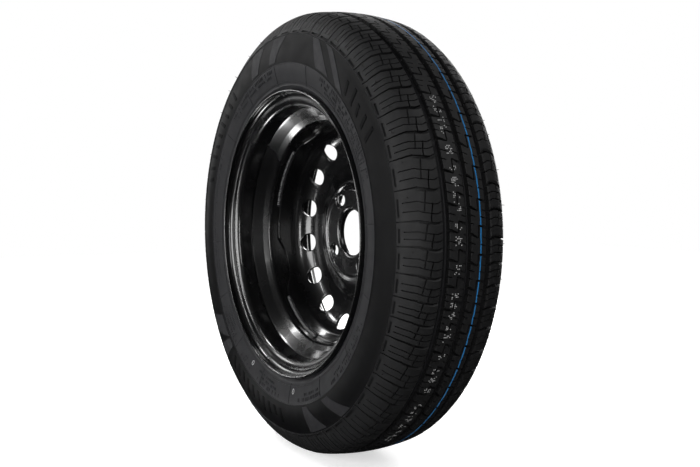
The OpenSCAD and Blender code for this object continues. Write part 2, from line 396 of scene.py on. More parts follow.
def round_axis(tree: Tree, place: Socket) -> tuple[Socket, Socket]:
    """A place's distance outboard and its distance from the spin axis."""
    parts = add_node(tree, "ShaderNodeSeparateXYZ", {0: place})
    flat = add_node(tree, "ShaderNodeCombineXYZ", {0: parts.outputs[0], 2: parts.outputs[2]})
    radius = add_node(tree, "ShaderNodeVectorMath", {0: flat.outputs[0]}, operation="LENGTH")
    return parts.outputs[1], radius.outputs["Value"]


@dataclass(frozen=True)
class Finish:
    """A surface finish with mottled colour, uneven gloss and a fine bump.

    Attributes:
        name: The material and how its surface is made.
        dark: Darker colour of the mottling.
        light: Lighter colour of the mottling.
        rough: Lowest and highest roughness.
        patch_mm: Size of the mottling.
        grain_mm: Size of the bump's grain.
        bump_mm: Height of the bump.
        metallic: One for bare metal.
        ior: Refractive index, left alone on metal.
        coat: Weight of a clear coat.
        coat_rough: Roughness of that coat.
        specular: Strength of the mirror-like part.
    """

    name: str
    dark: str
    light: str
    rough: tuple[float, float]
    patch_mm: float
    grain_mm: float
    bump_mm: float
    metallic: float = 0.0
    ior: float = 1.5
    coat: float = 0.0
    coat_rough: float = 0.09
    specular: float = 0.5

    def colour(self, tree: Tree, place: Socket) -> Socket:
        """The colour socket, mottled between the two tones."""
        patches = noise(tree, place, 1 / (self.patch_mm * MM), 4.0, 0.6)
        return blended(tree, patches, self.dark, self.light)

    def material(self) -> bpy.types.Material:
        """Builds the material, or finds the one already built."""
        if self.name in bpy.data.materials:
            return bpy.data.materials[self.name]
        made = bpy.data.materials.new(self.name)
        made.use_nodes = True
        tree = made.node_tree
        shader = tree.nodes["Principled BSDF"]
        place = add_node(tree, "ShaderNodeTexCoord").outputs["Object"]
        tree.links.new(self.colour(tree, place), shader.inputs["Base Color"])
        gloss = noise(tree, place, 0.6 / (self.patch_mm * MM), 3.0)
        tree.links.new(mapped(tree, gloss, (0.3, 0.7), self.rough), shader.inputs["Roughness"])
        grain = noise(tree, place, 1 / (self.grain_mm * MM), 2.0)
        bump = add_node(tree, "ShaderNodeBump",
                        {"Height": grain, "Distance": self.bump_mm * MM, "Strength": 1.0})
        tree.links.new(bump.outputs[0], shader.inputs["Normal"])
        shader.inputs["Metallic"].default_value = self.metallic
        if self.metallic < 0.5:
            shader.inputs["IOR"].default_value = self.ior
            shader.inputs["Specular IOR Level"].default_value = self.specular
        if self.coat:
            shader.inputs["Coat Weight"].default_value = self.coat
            shader.inputs["Coat Roughness"].default_value = self.coat_rough
        return made


@dataclass(frozen=True)
class LinedRubber(Finish):
    """Tread rubber with a painted line round it.

    Attributes:
        line: The line's colour.
        line_y: The line's place across the tread in millimetres.
        line_w: Its width in millimetres.
        line_r: Radius above which the rubber takes the paint.
        line_wander: How far its edges wander across the tread.
        line_soft: Half the width over which its edges fade.
    """

    line: str = "#0E6CA8"
    line_y: float = 16.5
    line_w: float = 1.6
    line_r: float = 279.6
    line_wander: float = 1.6
    line_soft: float = 0.12

    def colour(self, tree: Tree, place: Socket) -> Socket:
        """The mottled rubber with the line over it, its edges a little uneven."""
        rubber = Finish.colour(self, tree, place)
        outboard, radius = round_axis(tree, place)
        wander = noise(tree, place, 1 / (9 * MM), 1.0)
        # Noise averages a half, so half of what it adds is taken off again
        shift = maths(tree, "MULTIPLY_ADD", wander, self.line_wander * MM,
                      -(self.line_y * MM + self.line_wander * MM / 2))
        far = maths(tree, "ABSOLUTE", maths(tree, "ADD", outboard, shift))
        half = self.line_w / 2
        inside = mapped(tree, far, ((half - self.line_soft) * MM, (half + self.line_soft) * MM), (1.0, 0.0))
        high = maths(tree, "GREATER_THAN", radius, self.line_r * MM)
        return blended(tree, maths(tree, "MULTIPLY", inside, high), rubber, self.line)


@dataclass(frozen=True)
class WallRubber(Finish):
    """Sidewall rubber with a darker, duller band from an etched ring of the mould.

    Attributes:
        band: The band's colour.
        dulled: Share of its mirror-like part that the band keeps.
        band_r: Its inner and outer radius in millimetres.
        band_soft: Half the width over which its edges fade.
    """

    band: str = "#070708"
    dulled: float = 0.4
    band_r: Point = (214.5, 249.5)
    band_soft: float = 0.4

    def colour(self, tree: Tree, place: Socket) -> Socket:
        """The mottled rubber with the band over it."""
        rubber = Finish.colour(self, tree, place)
        radius = round_axis(tree, place)[1]
        low, high = (mapped(tree, radius, ((edge - self.band_soft) * MM, (edge + self.band_soft) * MM), ends)
                     for edge, ends in zip(self.band_r, ((0.0, 1.0), (1.0, 0.0))))
        mask = maths(tree, "MULTIPLY", low, high)
        level = mapped(tree, mask, (0.0, 1.0), (self.specular, self.specular * self.dulled))
        tree.links.new(level, tree.nodes["Principled BSDF"].inputs["Specular IOR Level"])
        return blended(tree, mask, rubber, self.band)


# Moulded tyre rubber: near black, faintly mottled by release agent, with a fine grain that dulls its sheen
TREAD = LinedRubber("moulded tread rubber", "#121213", "#1D1D1E", (0.56, 0.70), 9.0, 0.8, 0.03, ior=1.52,
                    specular=0.3)
# The wall is smoother than the tread, so it shows a broader, paler sheen
SIDEWALL = WallRubber("moulded sidewall rubber", "#161618", "#202022", (0.46, 0.58), 14.0, 0.7, 0.02,
                      ior=1.52, specular=0.14)
# Marks moulded with a fine knurl scatter more light than the wall round them
KNURLED = Finish("knurled sidewall rubber", "#1A1A1C", "#242426", (0.56, 0.70), 6.0, 0.5, 0.05, ior=1.52,
                 specular=0.14)
# Etched parts of the mould leave the rubber dark and matt
ETCHED = Finish("rubber from an etched mould", "#050506", "#080809", (0.5, 0.6), 9.0, 0.7, 0.01, ior=1.52,
                specular=0.03)
# Stoved black enamel over pressed steel: deep gloss with a slight orange peel about 1.6 mm across
ENAMEL = Finish("gloss black enamel on pressed steel", "#050506", "#09090A", (0.22, 0.30), 30.0, 1.6, 0.003,
                coat=0.65)
# The same enamel over a rough weld bead hides less of the spatter under it
WELD_ENAMEL = Finish("black enamel on weld bead", "#141415", "#2B2B2D", (0.24, 0.42), 2.0, 0.9, 0.12,
                     coat=0.3)
VALVE_RUBBER = Finish("moulded valve rubber", "#161616", "#202020", (0.5, 0.62), 4.0, 0.4, 0.02, ior=1.52)
# Turned brass, slightly dulled in air
BRASS = Finish("turned brass", "#A8853F", "#C7A659", (0.24, 0.38), 3.0, 0.3, 0.008, metallic=1.0)
SEAL = Finish("moulded seal plastic", "#C9C7BC", "#D8D6CC", (0.4, 0.5), 2.0, 0.3, 0.005, ior=1.4)
WIRE = Finish("drawn spring wire", "#8D8F92", "#A6A8AB", (0.22, 0.34), 1.0, 0.2, 0.003, metallic=1.0)
CAP = Finish("moulded black cap plastic", "#101011", "#18181A", (0.34, 0.46), 3.0, 0.4, 0.01, ior=1.49)
# Ink rolled on the tread and the wall at the works, thin and patchy
INK = Finish("white marking ink on rubber", "#6E6E6E", "#D6D6D6", (0.6, 0.8), 1.6, 0.4, 0.02)


def dress(target: Object, finish: Finish, slot: str, body: str, *nodes: str) -> Object:
    """Gives a finished piece its material and body, and hides the CAD nodes that it stands for.

    Args:
        target: The piece.
        finish: Its finish.
        slot: The record's material slot; not used.
        body: The CAD body that it rides on.
        nodes: The CAD nodes that it replaces.
    Returns:
        The piece.
    """
    target.data.materials.clear()
    target.data.materials.append(finish.material())
    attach(target, body)
    if nodes:
        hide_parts(*nodes)
    LOG.info("%s: %d faces", target.name, len(target.data.polygons))
    return target


def scattered(name: str, tiles: Sequence[Object], turns: Sequence[float], kinds: Sequence[int],
              finish: Finish, merge: float = 0.0) -> Object:
    """Sets tiles round the spin axis with Geometry Nodes.

    Each turn is a point whose attributes give the tile's kind and angle. The tiles are already in
    place at angle zero, so an instance only turns.

    Args:
        name: The result's name.
        tiles: The tiles, one for each kind. They are removed afterwards.
        turns: Angles in degrees.
        kinds: The tile's number for each angle.
        finish: The finish that Set Material gives.
        merge: Merge distance in millimetres.
    Returns:
        The plain mesh object.
    """
    data = bpy.data.meshes.new(name)
    data.from_pydata([(0.0, 0.0, 0.0)] * len(turns), [], [])
    data.attributes.new("turn", "FLOAT", "POINT").data.foreach_set("value", [math.radians(-t) for t in turns])
    data.attributes.new("kind", "INT", "POINT").data.foreach_set("value", list(kinds))
    target = linked(name, data)
    group = bpy.data.collections.new(name + " tiles")
    bpy.context.scene.collection.children.link(group)
    for k, tile in enumerate(tiles):
        tile.name = f"{name}_tile_{k}"
        bpy.context.scene.collection.objects.unlink(tile)
        group.objects.link(tile)

    tree = bpy.data.node_groups.new(name + " ring", "GeometryNodeTree")
    face = tree.interface
    face.new_socket("Points", in_out="INPUT", socket_type="NodeSocketGeometry")
    face.new_socket("Tiles", in_out="INPUT", socket_type="NodeSocketCollection")
    face.new_socket("Merge distance", in_out="INPUT", socket_type="NodeSocketFloat")
    face.new_socket("Ring", in_out="OUTPUT", socket_type="NodeSocketGeometry")
    start = add_node(tree, "NodeGroupInput")
    turn = add_node(tree, "GeometryNodeInputNamedAttribute", {"Name": "turn"}, data_type="FLOAT")
    kind = add_node(tree, "GeometryNodeInputNamedAttribute", {"Name": "kind"}, data_type="INT")
    parts = add_node(tree, "GeometryNodeCollectionInfo", {"Collection": start.outputs["Tiles"],
                                                          "Separate Children": True, "Reset Children": False})
    angle = add_node(tree, "ShaderNodeCombineXYZ", {1: turn.outputs["Attribute"]})
    copies = add_node(tree, "GeometryNodeInstanceOnPoints", {
        "Points": start.outputs["Points"], "Instance": parts.outputs[0], "Pick Instance": True,
        "Instance Index": kind.outputs["Attribute"], "Rotation": angle.outputs[0]})
    real = add_node(tree, "GeometryNodeRealizeInstances", {0: copies.outputs[0]})
    sewn = add_node(tree, "GeometryNodeMergeByDistance", {"Geometry": real.outputs[0],
                                                          "Distance": start.outputs["Merge distance"]})
    paint = add_node(tree, "GeometryNodeSetMaterial",
                     {"Geometry": sewn.outputs[0], "Material": finish.material()})
    end = add_node(tree, "NodeGroupOutput")
    tree.links.new(paint.outputs[0], end.inputs[0])
    ring = target.modifiers.new("Ring", "NODES")
    ring.node_group = tree
    for item in face.items_tree:
        if item.name == "Tiles":
            ring[item.identifier] = group
        elif item.name == "Merge distance":
            ring[item.identifier] = merge * MM
    baked(target)
    for tile in tiles:
        bpy.data.objects.remove(tile)
    bpy.data.collections.remove(group)
    return target


# The tyre

class Side(Enum):
    """A side of the wheel, as the sign of its distance outboard."""

    INBOARD = -1
    OUTBOARD = 1


def on_tyre(target: Object, finish: Finish) -> Object:
    """Dresses a piece that stands for part of the tyre."""
    return dress(target, finish, "tyre_rubber", "wheel", "tyre")


@dataclass(frozen=True)
class Cut:
    """A groove or sipe of constant width in one tread zone.

    Attributes:
        line: Its centre line as (distance across the tread, share of the pitch).
        width: Its width in millimetres at each point of the line.
        depth: Its depth in millimetres.
    """

    line: tuple[Point, ...]
    width: tuple[float, ...]
    depth: float


@dataclass(frozen=True)
class Zone:
    """A rib or shoulder of the tread.

    Attributes:
        name: Its name.
        start: Its first edge across the tread, in millimetres along the section.
        end: Its last edge.
        lead: Angle by which its pitches lead those of the near shoulder.
        cuts: Its cuts in one pitch.
        facet: The sloping facet below its main groove, as (across, upper share, lower share).
        reversed: Whether it is the inboard zone turned half round.
    """

    name: str
    start: float
    end: float
    lead: float
    cuts: tuple[Cut, ...]
    facet: tuple[tuple[float, float, float], ...] = ()
    reversed: bool = False


@dataclass
class Tyre:
    """The 145/80 R 13 tyre: carcass, tread zones, sidewall marks and stamping."""

    tyre_r: float = 281.0
    crown_r: float = 256.0
    groove_depth: float = 6.5
    crown_edge: float = 45.0
    buttress_r: float = 250.5
    first_pitch: float = 75.0
    pitch_kinds: tuple[float, ...] = (5.15, 5.65, 6.25, 7.35)
    pitch_order: tuple[int, ...] = (
        0, 0, 1, 0, 1, 1, 1, 1, 2, 1, 3, 3, 1, 2, 1, 0, 0, 0, 2, 1, 3, 3, 2, 1, 0, 0, 1, 1, 2, 0, 1,
        0, 3, 1, 0, 0, 2, 1, 0, 1, 2, 0, 0, 1, 3, 2, 0, 1, 0, 1, 2, 1, 0, 3, 1, 0, 2, 1, 0, 3, 0, 2)
    seam: float = 2.6
    skirt: float = 7.0

    def __post_init__(self) -> None:
        """Lays out the tread's section."""
        half = [(y, self.crown_at(y)) for y in np.arange(0, 33, 1.5)]
        half += smooth([(y, self.crown_at(y)) for y in (33, 39)] + [
            (self.crown_edge, self.crown_at(self.crown_edge) - 0.25), (50.5, 274.1), (55.2, 271),
            (59.6, 266.3), (64.2, 260.2), (68.2, 253.4), (70.8, self.buttress_r)], 6)
        self.tread = Track(mirrored(half)[:-1] + half, zero=0.0)
        self.sidewall_line = smooth([(70.2, self.buttress_r - 0.6), (71.0, 244.5), (72.4, 238), (73.8, 229),
                                     (74, 220), (73, 209), (70.6, 198), (67.9, 188.2)], 6)
        self.wall = Track(self.sidewall_line)

    def crown_at(self, y: float) -> float:
        """Radius of the crown at a distance from the centre plane."""
        return self.tyre_r - self.crown_r + math.sqrt(self.crown_r ** 2 - y * y)

    def long(self, kind: int) -> float:
        """Length of a pitch along the tread in millimetres."""
        return math.radians(self.pitch_kinds[kind]) * self.tyre_r

    def starts(self) -> list[float]:
        """Angle at which each pitch starts, running downwards."""
        return [self.first_pitch - sum(self.pitch_kinds[k] for k in self.pitch_order[:i])
                for i in range(len(self.pitch_order))]

    def zones(self) -> list[Zone]:
        """The four tread zones, inboard to outboard."""
        sag = ((-58, 0.0), (-54.9, 0.033), (-49, 0.068), (-39, 0.108), (-34, 0.05), (-30, 0.02))
        main = Cut(((-86, 0.0), (-75, 0.0), (-64, 0.0)) + sag,
                   (1.5, 1.6, 2.2, 2.5, 2.8, 3.0, 2.5, 1.8, 1.8), 4.4)

        def sipe(share: float) -> Cut:
            """A shoulder sipe at a share of the pitch."""
            bend = tuple((u, t + share) for u, t in sag)
            return Cut(((-75.4, share), (-66, share)) + bend, (1.2,) * 8, 3.4)

        shoulder = (
            main, sipe(0.412), sipe(0.70),
            Cut(((-49.2, 0.05), (-52.3, 0.725)), (1.5, 1.5), 3.6),
            Cut(((-42.7, 0.48), (-45.2, 0.88), (-45.2, 1.06)), (1.5, 1.5, 1.5), 3.6),
            Cut(((-80.1, 0.26), (-80.1, 0.29), (-80.1, 0.83), (-80.1, 0.86)), (1.0, 2.4, 2.4, 1.0), 1.9))
        facet = ((-60, 0.015, 0.03), (-57.5, 0.02, 0.10), (-50, 0.07, 0.145), (-42, 0.10, 0.20),
                 (-37, 0.09, 0.20), (-31, 0.03, 0.13))
        rib = (
            Cut(((-26, -0.012), (-20, 0.035), (-13.6, 0.10)), (3.8, 3.2, 1.6), 5.0),
            Cut(((-2, 0.815), (-6, 0.75), (-12.6, 0.65)), (3.6, 3.0, 1.6), 5.0),
            Cut(((-12.9, 0.65), (-13.2, 0.85), (-13.2, 1.03), (-13.5, 1.10)), (1.7, 1.7, 1.7, 1.7), 4.4),
            Cut(((-25.5, 0.35), (-16.2, 0.43)), (1.4, 1.2), 3.6),
            Cut(((-25.5, 0.63), (-19.3, 0.69)), (1.4, 1.2), 3.6),
            Cut(((-7.3, 0.14), (-2.5, 0.195)), (1.2, 1.4), 3.6),
            Cut(((-9.2, 0.43), (-2.5, 0.51)), (1.2, 1.4), 3.6))
        return [Zone("shoulder_inboard", -83.1, -31.7, 0.0, shoulder, facet),
                Zone("rib_inboard", -24.3, -3.7, 3.5, rib),
                Zone("rib_outboard", -24.3, -3.7, 3.9, rib, reversed=True),
                Zone("shoulder_outboard", -83.1, -31.7, 7.4, shoulder, facet, reversed=True)]

    def tile(self, zone: Zone, kind: int) -> Mesh:
        """One pitch of a tread zone, from the top face down to a skirt sunk in the carcass.

        Args:
            zone: The zone.
            kind: The pitch's kind.
        Returns:
            The places and faces at angle zero.
        """
        long = self.long(kind)
        corners = [(zone.start, 0.0), (zone.end, 0.0), (zone.end, long), (zone.start, long)]
        shapes: list[list[Point]] = [corners]
        depths: list[Depth] = [lambda u, t: 0.0]
        for shift in (-long, 0.0, long):
            if zone.facet:
                top = [(u, self.seam + a * long + shift) for u, a, _ in zone.facet]
                low = [(u, self.seam + b * long + shift) for u, _, b in zone.facet]
                shapes.append(anticlockwise(top + low[::-1]))
                depths.append(self.slope(top, low, 2.6))
        for cut in zone.cuts:
            for shift in (-long, 0.0, long):
                spots, widths = [(u, self.seam + t * long + shift) for u, t in cut.line], cut.width
                if len(spots) > 4:
                    widths = np.interp(np.arange(3 * len(spots) - 2) / 3, range(len(spots)), cut.width)
                    spots = smooth(spots, 3)
                shapes.append(anticlockwise(self.strip(spots, widths)))
                depths.append(self.floor(cut.depth, zone))
        bevel = 1.2 if zone.facet else 0.5
        if zone.facet:
            lines = [zone.start, *np.arange(-79, -44, 3.5), -41, -37, zone.end - bevel, zone.end]
        else:
            lines = [zone.start, zone.start + bevel, -19, -14, -9, zone.end - bevel, zone.end]
        rows = np.linspace(0, long, 4)
        points = [Vector((float(u), float(t))) for u in lines for t in rows]
        creases = [(k * len(rows), (k + 1) * len(rows) - 1) for k, u in enumerate(lines)
                   if u in (zone.end - bevel, zone.start + bevel)]
        outlines = []
        for shape in shapes:
            outlines.append(list(range(len(points), len(points) + len(shape))))
            points += [Vector(p) for p in shape]
        verts, _, tris, _, _, owners = delaunay_2d_cdt(points, creases, outlines, 0, 1e-4, True)

        def base(u: float) -> float:
            """Depth of the uncut surface, which falls away at the groove's edges."""
            edge = max(0.0, bevel - (zone.end - u)) / bevel
            if not zone.facet:
                edge = max(edge, (bevel - (u - zone.start)) / bevel)
            return bevel * edge

        levels = {}
        for tri, own in zip(tris, owners):
            if 0 not in own or len(tri) != 3:
                continue
            middle = sum((verts[k] for k in tri), Vector((0, 0))) / 3
            levels[tuple(tri)] = max(own, key=lambda n: (depths[n](middle.x, middle.y), n))
        places: list[Place] = []
        known: dict[tuple[int, int], int] = {}
        sunk: dict[int, float] = {}

        def vertex(k: int, level: int) -> int:
            """The number of a vertex on a level, made when first asked for."""
            if (k, level) not in known:
                u, t = verts[k]
                deep = self.skirt if level < 0 else max(base(u), depths[level](u, t))
                known[k, level] = len(places)
                sunk[known[k, level]] = deep
                places.append(self.tread_place(u, t, deep, zone))
            return known[k, level]

        faces: list[tuple[int, ...]] = []
        sides: dict[tuple[int, int], int] = {}
        for tri, level in levels.items():
            faces.append(tuple(vertex(k, level) for k in reversed(tri)))
            for a, b in zip(tri, tri[1:] + tri[:1]):
                sides[a, b] = level
        rims: tuple[list[int], list[int]] = ([], [])
        for (a, b), level in sides.items():
            other = sides.get((b, a))
            if other is None:
                if abs(verts[a].x - verts[b].x) > 1e-3:
                    continue
                other = -1
                rims[0 if verts[a].x < (zone.start + zone.end) / 2 else 1].extend((a, b))
            elif other == level or (b, a) in sides and level > other:
                continue
            quad = [vertex(a, level), vertex(b, level), vertex(b, other), vertex(a, other)]
            if abs(sunk[quad[0]] - sunk[quad[3]]) < 1e-6 and abs(sunk[quad[1]] - sunk[quad[2]]) < 1e-6:
                continue
            faces.append(tuple(quad))
        low, high = (sorted(set(r), key=lambda k: verts[k].y) for r in rims)
        faces.append(tuple(vertex(k, -1) for k in low + high[::-1])[::-1])
        return places, faces

    def slope(self, top: Sequence[Point], low: Sequence[Point], deep: float) -> Depth:
        """Depth of a facet that slopes from deep at its top line to nothing at its lower line."""
        us, tops, lows = [p[0] for p in top], [p[1] for p in top], [p[1] for p in low]

        def depth(u: float, t: float) -> float:
            """The facet's depth at a place."""
            a, b = np.interp(u, us, tops), np.interp(u, us, lows)
            return 0.002 + deep * clamped((b - t) / max(b - a, 0.1)) * max(0.1, clamped((u - us[0]) / 8))
        return depth

    def floor(self, deep: float, zone: Zone) -> Depth:
        """Depth of a cut's floor, which comes up towards the buttress."""
        def depth(u: float, t: float) -> float:
            """The cut's depth at a place."""
            if not zone.facet:
                return deep
            return float(np.interp(u, [-84, -80, -70], [min(deep, 1.2), min(deep, 1.9), deep]))
        return depth

    @staticmethod
    def strip(spots: Sequence[Point], widths: Sequence[float]) -> list[Point]:
        """The outline of a strip along a centre line with a width at each of its points."""
        line = np.array(spots)
        sides = -normals(spots) * np.array(widths)[:, None] / 2
        return [tuple(p) for p in line + sides] + [tuple(p) for p in (line - sides)[::-1]]

    def tread_place(self, u: float, t: float, deep: float, zone: Zone) -> Place:
        """The place of a tile's point in metres, at angle zero for its seam."""
        y, r = self.tread.at(u, -deep)
        turn = -math.degrees(t / self.tyre_r)
        if zone.reversed:
            y, turn = -y, -turn
        return turned_place(float(y), float(r), turn)

    def build_zone(self, zone: Zone) -> Object:
        """Builds a zone's tiles and sets them round the tyre."""
        tiles = [new_object(f"{zone.name}_{k}", self.tile(zone, k), merge=0.003, sharp=25, outwards=False)
                 for k in range(len(self.pitch_kinds))]
        turns = []
        for i, start in enumerate(self.starts()):
            lag = math.degrees(self.seam / self.tyre_r)
            if zone.reversed:
                turns.append(start - self.pitch_kinds[self.pitch_order[i]] + zone.lead - lag)
            else:
                turns.append(start + zone.lead + lag)
        made = scattered("tyre_" + zone.name, tiles, turns, self.pitch_order, TREAD, merge=0.02)
        return on_tyre(made, TREAD)

    def carcass(self) -> Object:
        """The tyre's body under the tread, its sidewalls, beads and lining."""
        def under(u: float, deep: float) -> Point:
            """A point below the tread's surface."""
            y, r = self.tread.at(u, -deep)
            return float(y), float(r)

        floor = self.groove_depth
        half = [under(0, floor), under(2.2, floor), under(3.0, floor - 0.6), under(4.4, floor - 0.4),
                under(14, floor - 0.6), under(23.4, floor - 0.6), under(25.4, floor - 0.5),
                under(26.2, floor), under(29.8, floor), under(30.8, floor - 0.5), under(33, floor - 0.6),
                *(under(u, 5.6) for u in np.arange(38, 74, 4.0)), under(76, 4.6), under(79, 2.6),
                under(81.6, 1.3), *self.sidewall_line, (68.1, 186.6), (67.5, 185.6), (66.6, 184.0),
                (65.2, 182.2)]
        inner = smooth([(37.75, 165.9), (43.15, 172), (51.5, 180), (57, 190), (63.5, 203), (67.6, 220),
                        (66.4, 236), (60.5, 252), (51, 262.4), (38, 267.2), (20, 268.2), (0, 268.4)], 3)
        bead = [(63.6, 181.8), (59.6, 179.6), (57.8, 176), (57.4, 171), (56.6, 166.6), (54, 165.0),
                (46, 164.2), (39, 163.4), (37.6, 164.2)]
        outside = half + bead + inner[:-1]
        section = outside + [inner[-1]] + mirrored(outside)[:-1]
        return on_tyre(new_object("tyre_carcass", revolved(section, 300), sharp=30), SIDEWALL)

    def wall_place(self, u: float, out: float, turn: float, side: Side) -> Place:
        """The place at a distance down a sidewall, out from its surface, at an angle in degrees."""
        y, r = self.wall.at(u, out)
        return turned_place(float(y) * side.value, float(r), turn)

    def build(self) -> None:
        """Builds the whole tyre."""
        self.carcass()
        for zone in self.zones():
            self.build_zone(zone)
        WallMarks(self).build()
        TreadMarks(self).build()


def closed_grid(low: list[list[Place]], top: list[list[Place]]) -> Mesh:
    """A thin solid between two grids of places with the same rows and columns."""
    rows, columns = len(top), len(top[0])
    places = [p for row in top for p in row] + [p for row in low for p in row]
    size = rows * columns

    def at(i: int, j: int) -> int:
        """The number of the top grid's place."""
        return i * columns + j

    faces: list[Sequence[int]] = []
    for i in range(rows - 1):
        for j in range(columns - 1):
            quad = (at(i, j), at(i, j + 1), at(i + 1, j + 1), at(i + 1, j))
            faces += [quad, tuple(size + k for k in reversed(quad))]
    edge = [at(0, j) for j in range(columns)] + [at(i, columns - 1) for i in range(1, rows)]
    edge += [at(rows - 1, j) for j in range(columns - 2, -1, -1)] + [at(i, 0) for i in range(rows - 2, 0, -1)]
    faces += [(b, a, size + a, size + b) for a, b in zip(edge, edge[1:] + edge[:1])]
    return places, faces


@dataclass
class WallMarks:
    """What the mould leaves on both sidewalls: ridges, dividers, slanted flashes and raised bars.

    Bars of a plain pattern fill the places where a tyre has its lettering.

    Attributes:
        tyre: The tyre that they are on.
        ridges: Radius, width and height of each ridge round the wall.
        dividers: Number of radial ridges in the inner ring.
        flashes: First and last angle of each flash, each at its inner and its outer end.
        ring_marks: Angles of the two inked ring marks on the inboard wall.
        ring_r: Radius at which they are.
        seed: Seed of the bars' spacing.
    """

    tyre: Tyre
    ridges: tuple[tuple[float, float, float], ...] = (
        (214.0, 1.1, 0.55), (250.2, 1.0, 0.5), (191.4, 0.8, 0.35))
    dividers: int = 16
    flashes: tuple[tuple[float, float, float, float], ...] = (
        (111.8, 109.9, 106.6, 101.9), (98.3, 95.5, 94.0, 88.0), (66.2, 72.1, 57.5, 68.6),
        (52.0, 64.5, 47.0, 61.0), (214.3, 209.8, 223.8, 216.8), (224.6, 221.0, 228.5, 227.0),
        (287.4, 295.9, 284.6, 286.4), (301.5, 310.0, 297.4, 304.5))
    ring_marks: tuple[float, float] = (243.8, 277.5)
    ring_r: float = 198.0
    seed: int = 3

    def pad(self, radii: Point, starts: Point, ends: Point, out: float, side: Side, edge: float = 0.35,
            cell: float = 4.0) -> Mesh:
        """A raised pad with sloping edges.

        Args:
            radii: Its inner and outer radius.
            starts: Its first angle at each of them.
            ends: Its last angle at each of them.
            out: Its height.
            side: The sidewall that it is on.
            edge: Width of its sloping edges.
            cell: Largest size of a face.
        Returns:
            The places and faces.
        """
        us = [self.tyre.wall.u_of_radius(r) for r in radii]
        high = abs(us[1] - us[0])
        wide = math.radians(abs(sum(ends) - sum(starts)) / 2) * sum(radii) / 2
        shares = [np.r_[0, np.linspace(edge / span, 1 - edge / span, max(2, math.ceil(span / cell) + 1)), 1]
                  for span in (high, wide)]
        grids: tuple[list, list] = ([], [])
        for i, a in enumerate(shares[0]):
            rows: tuple[list, list] = ([], [])
            for j, b in enumerate(shares[1]):
                rim = i in (0, len(shares[0]) - 1) or j in (0, len(shares[1]) - 1)
                first, last = (turns[0] + (turns[1] - turns[0]) * a for turns in (starts, ends))
                u = us[0] + (us[1] - us[0]) * a
                for row, height in zip(rows, (-0.7, -0.2 if rim else out)):
                    row.append(self.tyre.wall_place(u, height, first * (1 - b) + last * b, side))
            for grid, row in zip(grids, rows):
                grid.append(row)
        return closed_grid(*grids)

    def ridge(self, radius: float, width: float, height: float, side: Side) -> Mesh:
        """A ridge right round a wall."""
        wall = self.tyre.wall
        u = wall.u_of_radius(radius)
        profile = ((-0.5, -0.5), (-0.5, 0.0), (-0.25, height), (0.25, height), (0.5, 0.0), (0.5, -0.5))
        section = [wall.at(u + a * width, b) for a, b in profile]
        return revolved([(float(y) * side.value, float(r)) for y, r in section], 240)

    def ring_mark(self, turn: float) -> Mesh:
        """An oval ring of ink on the inboard wall, about 7 mm tall."""
        middle = self.tyre.wall.u_of_radius(self.ring_r)
        # Half height, half width and height over the rubber of each loop of its section
        loops = ((3.6, 2.5, -0.2), (3.5, 2.4, 0.12), (2.7, 1.6, 0.12), (2.6, 1.5, -0.2))
        count = 28
        places = [self.tyre.wall_place(middle + tall * math.cos(a), height,
                                       turn + math.degrees(wide * math.sin(a) / self.ring_r), Side.INBOARD)
                  for tall, wide, height in loops for a in np.linspace(0, 2 * math.pi, count, endpoint=False)]
        return places, tube_faces(len(loops), count, ring=True)

    def bars(self) -> tuple[list[Mesh], list[float], list[int]]:
        """The raised bars in rows.

        Returns:
            One bar for each row and side, and the angle and row of every bar.
        """
        rng = random.Random(self.seed)
        rows = ((208.5, 4.6, 0.9), (202.5, 3.6, 0.7), (197.0, 3.2, 0.7))
        tiles, turns, kinds = [], [], []
        for side in Side:
            for n, (radius, tall, wide) in enumerate(rows):
                lean = math.degrees(wide / radius) / 2
                radii = (radius - tall / 2, radius + tall / 2)
                tiles.append(self.pad(radii, (-lean, -lean), (lean, lean), 0.6, side, edge=0.15))
                for start, end, most in ((148, 168, 1), (173, 201, 2), (211, 226, 3), (234, 241, 2),
                                         (249, 266, 3), (281, 297, 2), (305, 333, 2), (18, 62, 3),
                                         (95, 131, 2)):
                    turn = start + (0 if n != 1 else 3)
                    while turn < end - 2 * n and n < most:
                        turn += rng.choice((0.75, 0.75, 1.1, 1.1, 2.3))
                        turns.append(turn if side is Side.INBOARD else 180 - turn)
                        kinds.append(len(tiles) - 1)
        return tiles, turns, kinds

